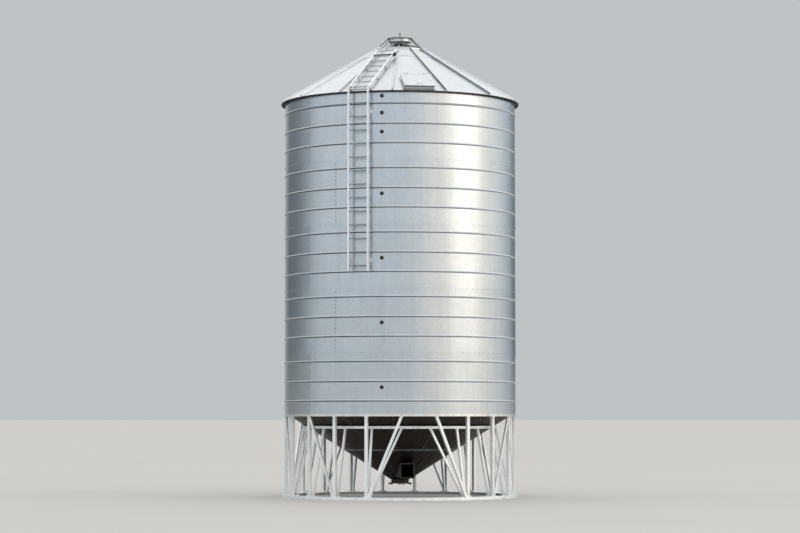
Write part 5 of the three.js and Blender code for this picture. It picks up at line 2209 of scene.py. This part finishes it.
@dataclass(frozen=True)
class Glow:
    """A soft patch of the studio's dome, brighter or darker than the rest."""

    azimuth: float
    elevation: float
    core: float
    edge: float
    colour: str
    strength: float

    def direction(self) -> Vector:
        """Return the way to the patch's middle from the silo."""
        flat = math.cos(math.radians(self.elevation))
        return around(flat, self.azimuth, math.sin(math.radians(self.elevation)))


@dataclass(frozen=True)
class Softbox:
    """A square soft light that hangs at an azimuth, a height and a distance from the centre line."""

    azimuth: float
    height: float
    away: float
    size: float
    power: float
    colour: str

    def hang(self, target: Vector) -> None:
        """Hang the light so that it faces a point and the camera doesn't see it.

        Args:
            target: The point that it faces.
        """
        bpy.ops.object.light_add(type="AREA", location=around(self.away, self.azimuth, self.height))
        lamp = bpy.context.object
        lamp.data.size = self.size
        lamp.data.energy = self.power
        lamp.data.color = linear(self.colour)[:3]
        lamp.visible_camera = False
        lamp.rotation_euler = (target - lamp.location).to_track_quat("-Z", "Y").to_euler()


@dataclass
class Studio:
    """Pale floor, soft dome with a broad warm side, key softbox and the camera."""

    distance: float = 58.8
    azimuth: float = -9.3
    eye: float = 1.8
    aim: float = 5.30
    lens: float = 115
    sensor: float = 36
    floor_radius: float = 3000
    near_radius: float = 100
    backdrop: str = "bfc3c6"
    horizon: str = "c0cad3"
    zenith: str = "ffffff"
    strength: float = 1.35
    # Heights on the dome, as a share of its radius, between which the horizon turns to the zenith
    rise: Span = (0.02, 0.52)
    glows: tuple[Glow, ...] = (
        Glow(azimuth=57, elevation=6, core=12, edge=62, colour="fff6e8", strength=1.07),
        Glow(azimuth=190, elevation=0, core=36, edge=80, colour="2a6478", strength=0.30),
        Glow(azimuth=180, elevation=10, core=4, edge=24, colour="f4f2ee", strength=0.55),
    )
    key: Softbox = Softbox(azimuth=57, height=17, away=42, size=24, power=1900, colour="fff4e4")

    def dome(self) -> None:
        """Light the world by direction, and let the camera see a plain backdrop behind the floor."""
        world = bpy.data.worlds.new("studio_dome")
        bpy.context.scene.world = world
        world.use_nodes = True
        tree = world.node_tree
        way = add_node(tree, "TexCoord", {}).outputs["Generated"]
        height = add_node(tree, "SeparateXYZ", {"Vector": way}).outputs["Z"]
        rise = ramp(tree, height, self.rise, interpolation_type="SMOOTHSTEP")
        colour = linear(self.horizon)
        for glow in self.glows:
            facing = add_node(tree, "VectorMath", {0: way, 1: glow.direction()}, operation="DOT_PRODUCT")
            patch = ramp(tree, facing.outputs["Value"], tuple(
                math.cos(math.radians(angle)) for angle in (glow.edge, glow.core)),
                interpolation_type="SMOOTHSTEP")
            colour = blend(tree, patch, colour, [part * glow.strength for part in linear(glow.colour)])
        light = tree.nodes["Background"]
        fill_inputs(tree, light, {"Color": blend(tree, rise, colour, linear(self.zenith)),
                                  "Strength": self.strength})
        plain = add_node(tree, "Background", {"Color": linear(self.backdrop)})
        seen = add_node(tree, "LightPath", {}).outputs["Is Camera Ray"]
        both = add_node(tree, "MixShader", {
            0: seen, 1: light.outputs["Background"], 2: plain.outputs["Background"]})
        tree.links.new(both.outputs["Shader"], tree.nodes["World Output"].inputs["Surface"])

    def floor(self) -> None:
        """Lay the floor out to the camera's horizon."""
        bpy.ops.mesh.primitive_circle_add(vertices=96, radius=self.floor_radius, fill_type="NGON")
        floor = dress(bpy.context.object, Screed("pale_screed"))
        with editing(floor):
            bpy.ops.mesh.inset(thickness=self.floor_radius - self.near_radius)
        floor.name = "studio_floor"

    def camera(self, target: Vector) -> None:
        """Set the camera where the photographer stood, closed in on the silo.

        Args:
            target: The point that it faces.
        """
        bpy.ops.object.camera_add(location=around(self.distance, self.azimuth, self.eye))
        camera = bpy.context.object
        camera.data.lens = self.lens
        camera.data.sensor_width = self.sensor
        camera.data.clip_end = 2 * self.floor_radius
        camera.rotation_euler = (target - camera.location).to_track_quat("-Z", "Y").to_euler()
        bpy.context.scene.camera = camera

    def build(self) -> None:
        """Set up the floor, the light and the camera."""
        target = Vector((0, 0, self.aim))
        self.dome()
        self.floor()
        self.key.hang(target)
        self.camera(target)
        bpy.context.scene.view_settings.view_transform = "Standard"


def main() -> None:
    """Build each sub-assembly in order, then the studio."""
    logging.basicConfig(level=logging.INFO, format="%(message)s")
    parts = (BaseRing(), LegRing(), HopperBeam(), Hopper(), SlideGate(), WallShell(), SightWindows(),
             BottomRim(), RoofSheets(), RoofCap(), FillCollar(), LidGuard(), FillLid(), RoofHatch(),
             WallLadder(), RoofLadder(), Studio())
    for part in parts:
        part.build()
        LOG.info("%s done", type(part).__name__)


if __name__ == "__main__":
    main()
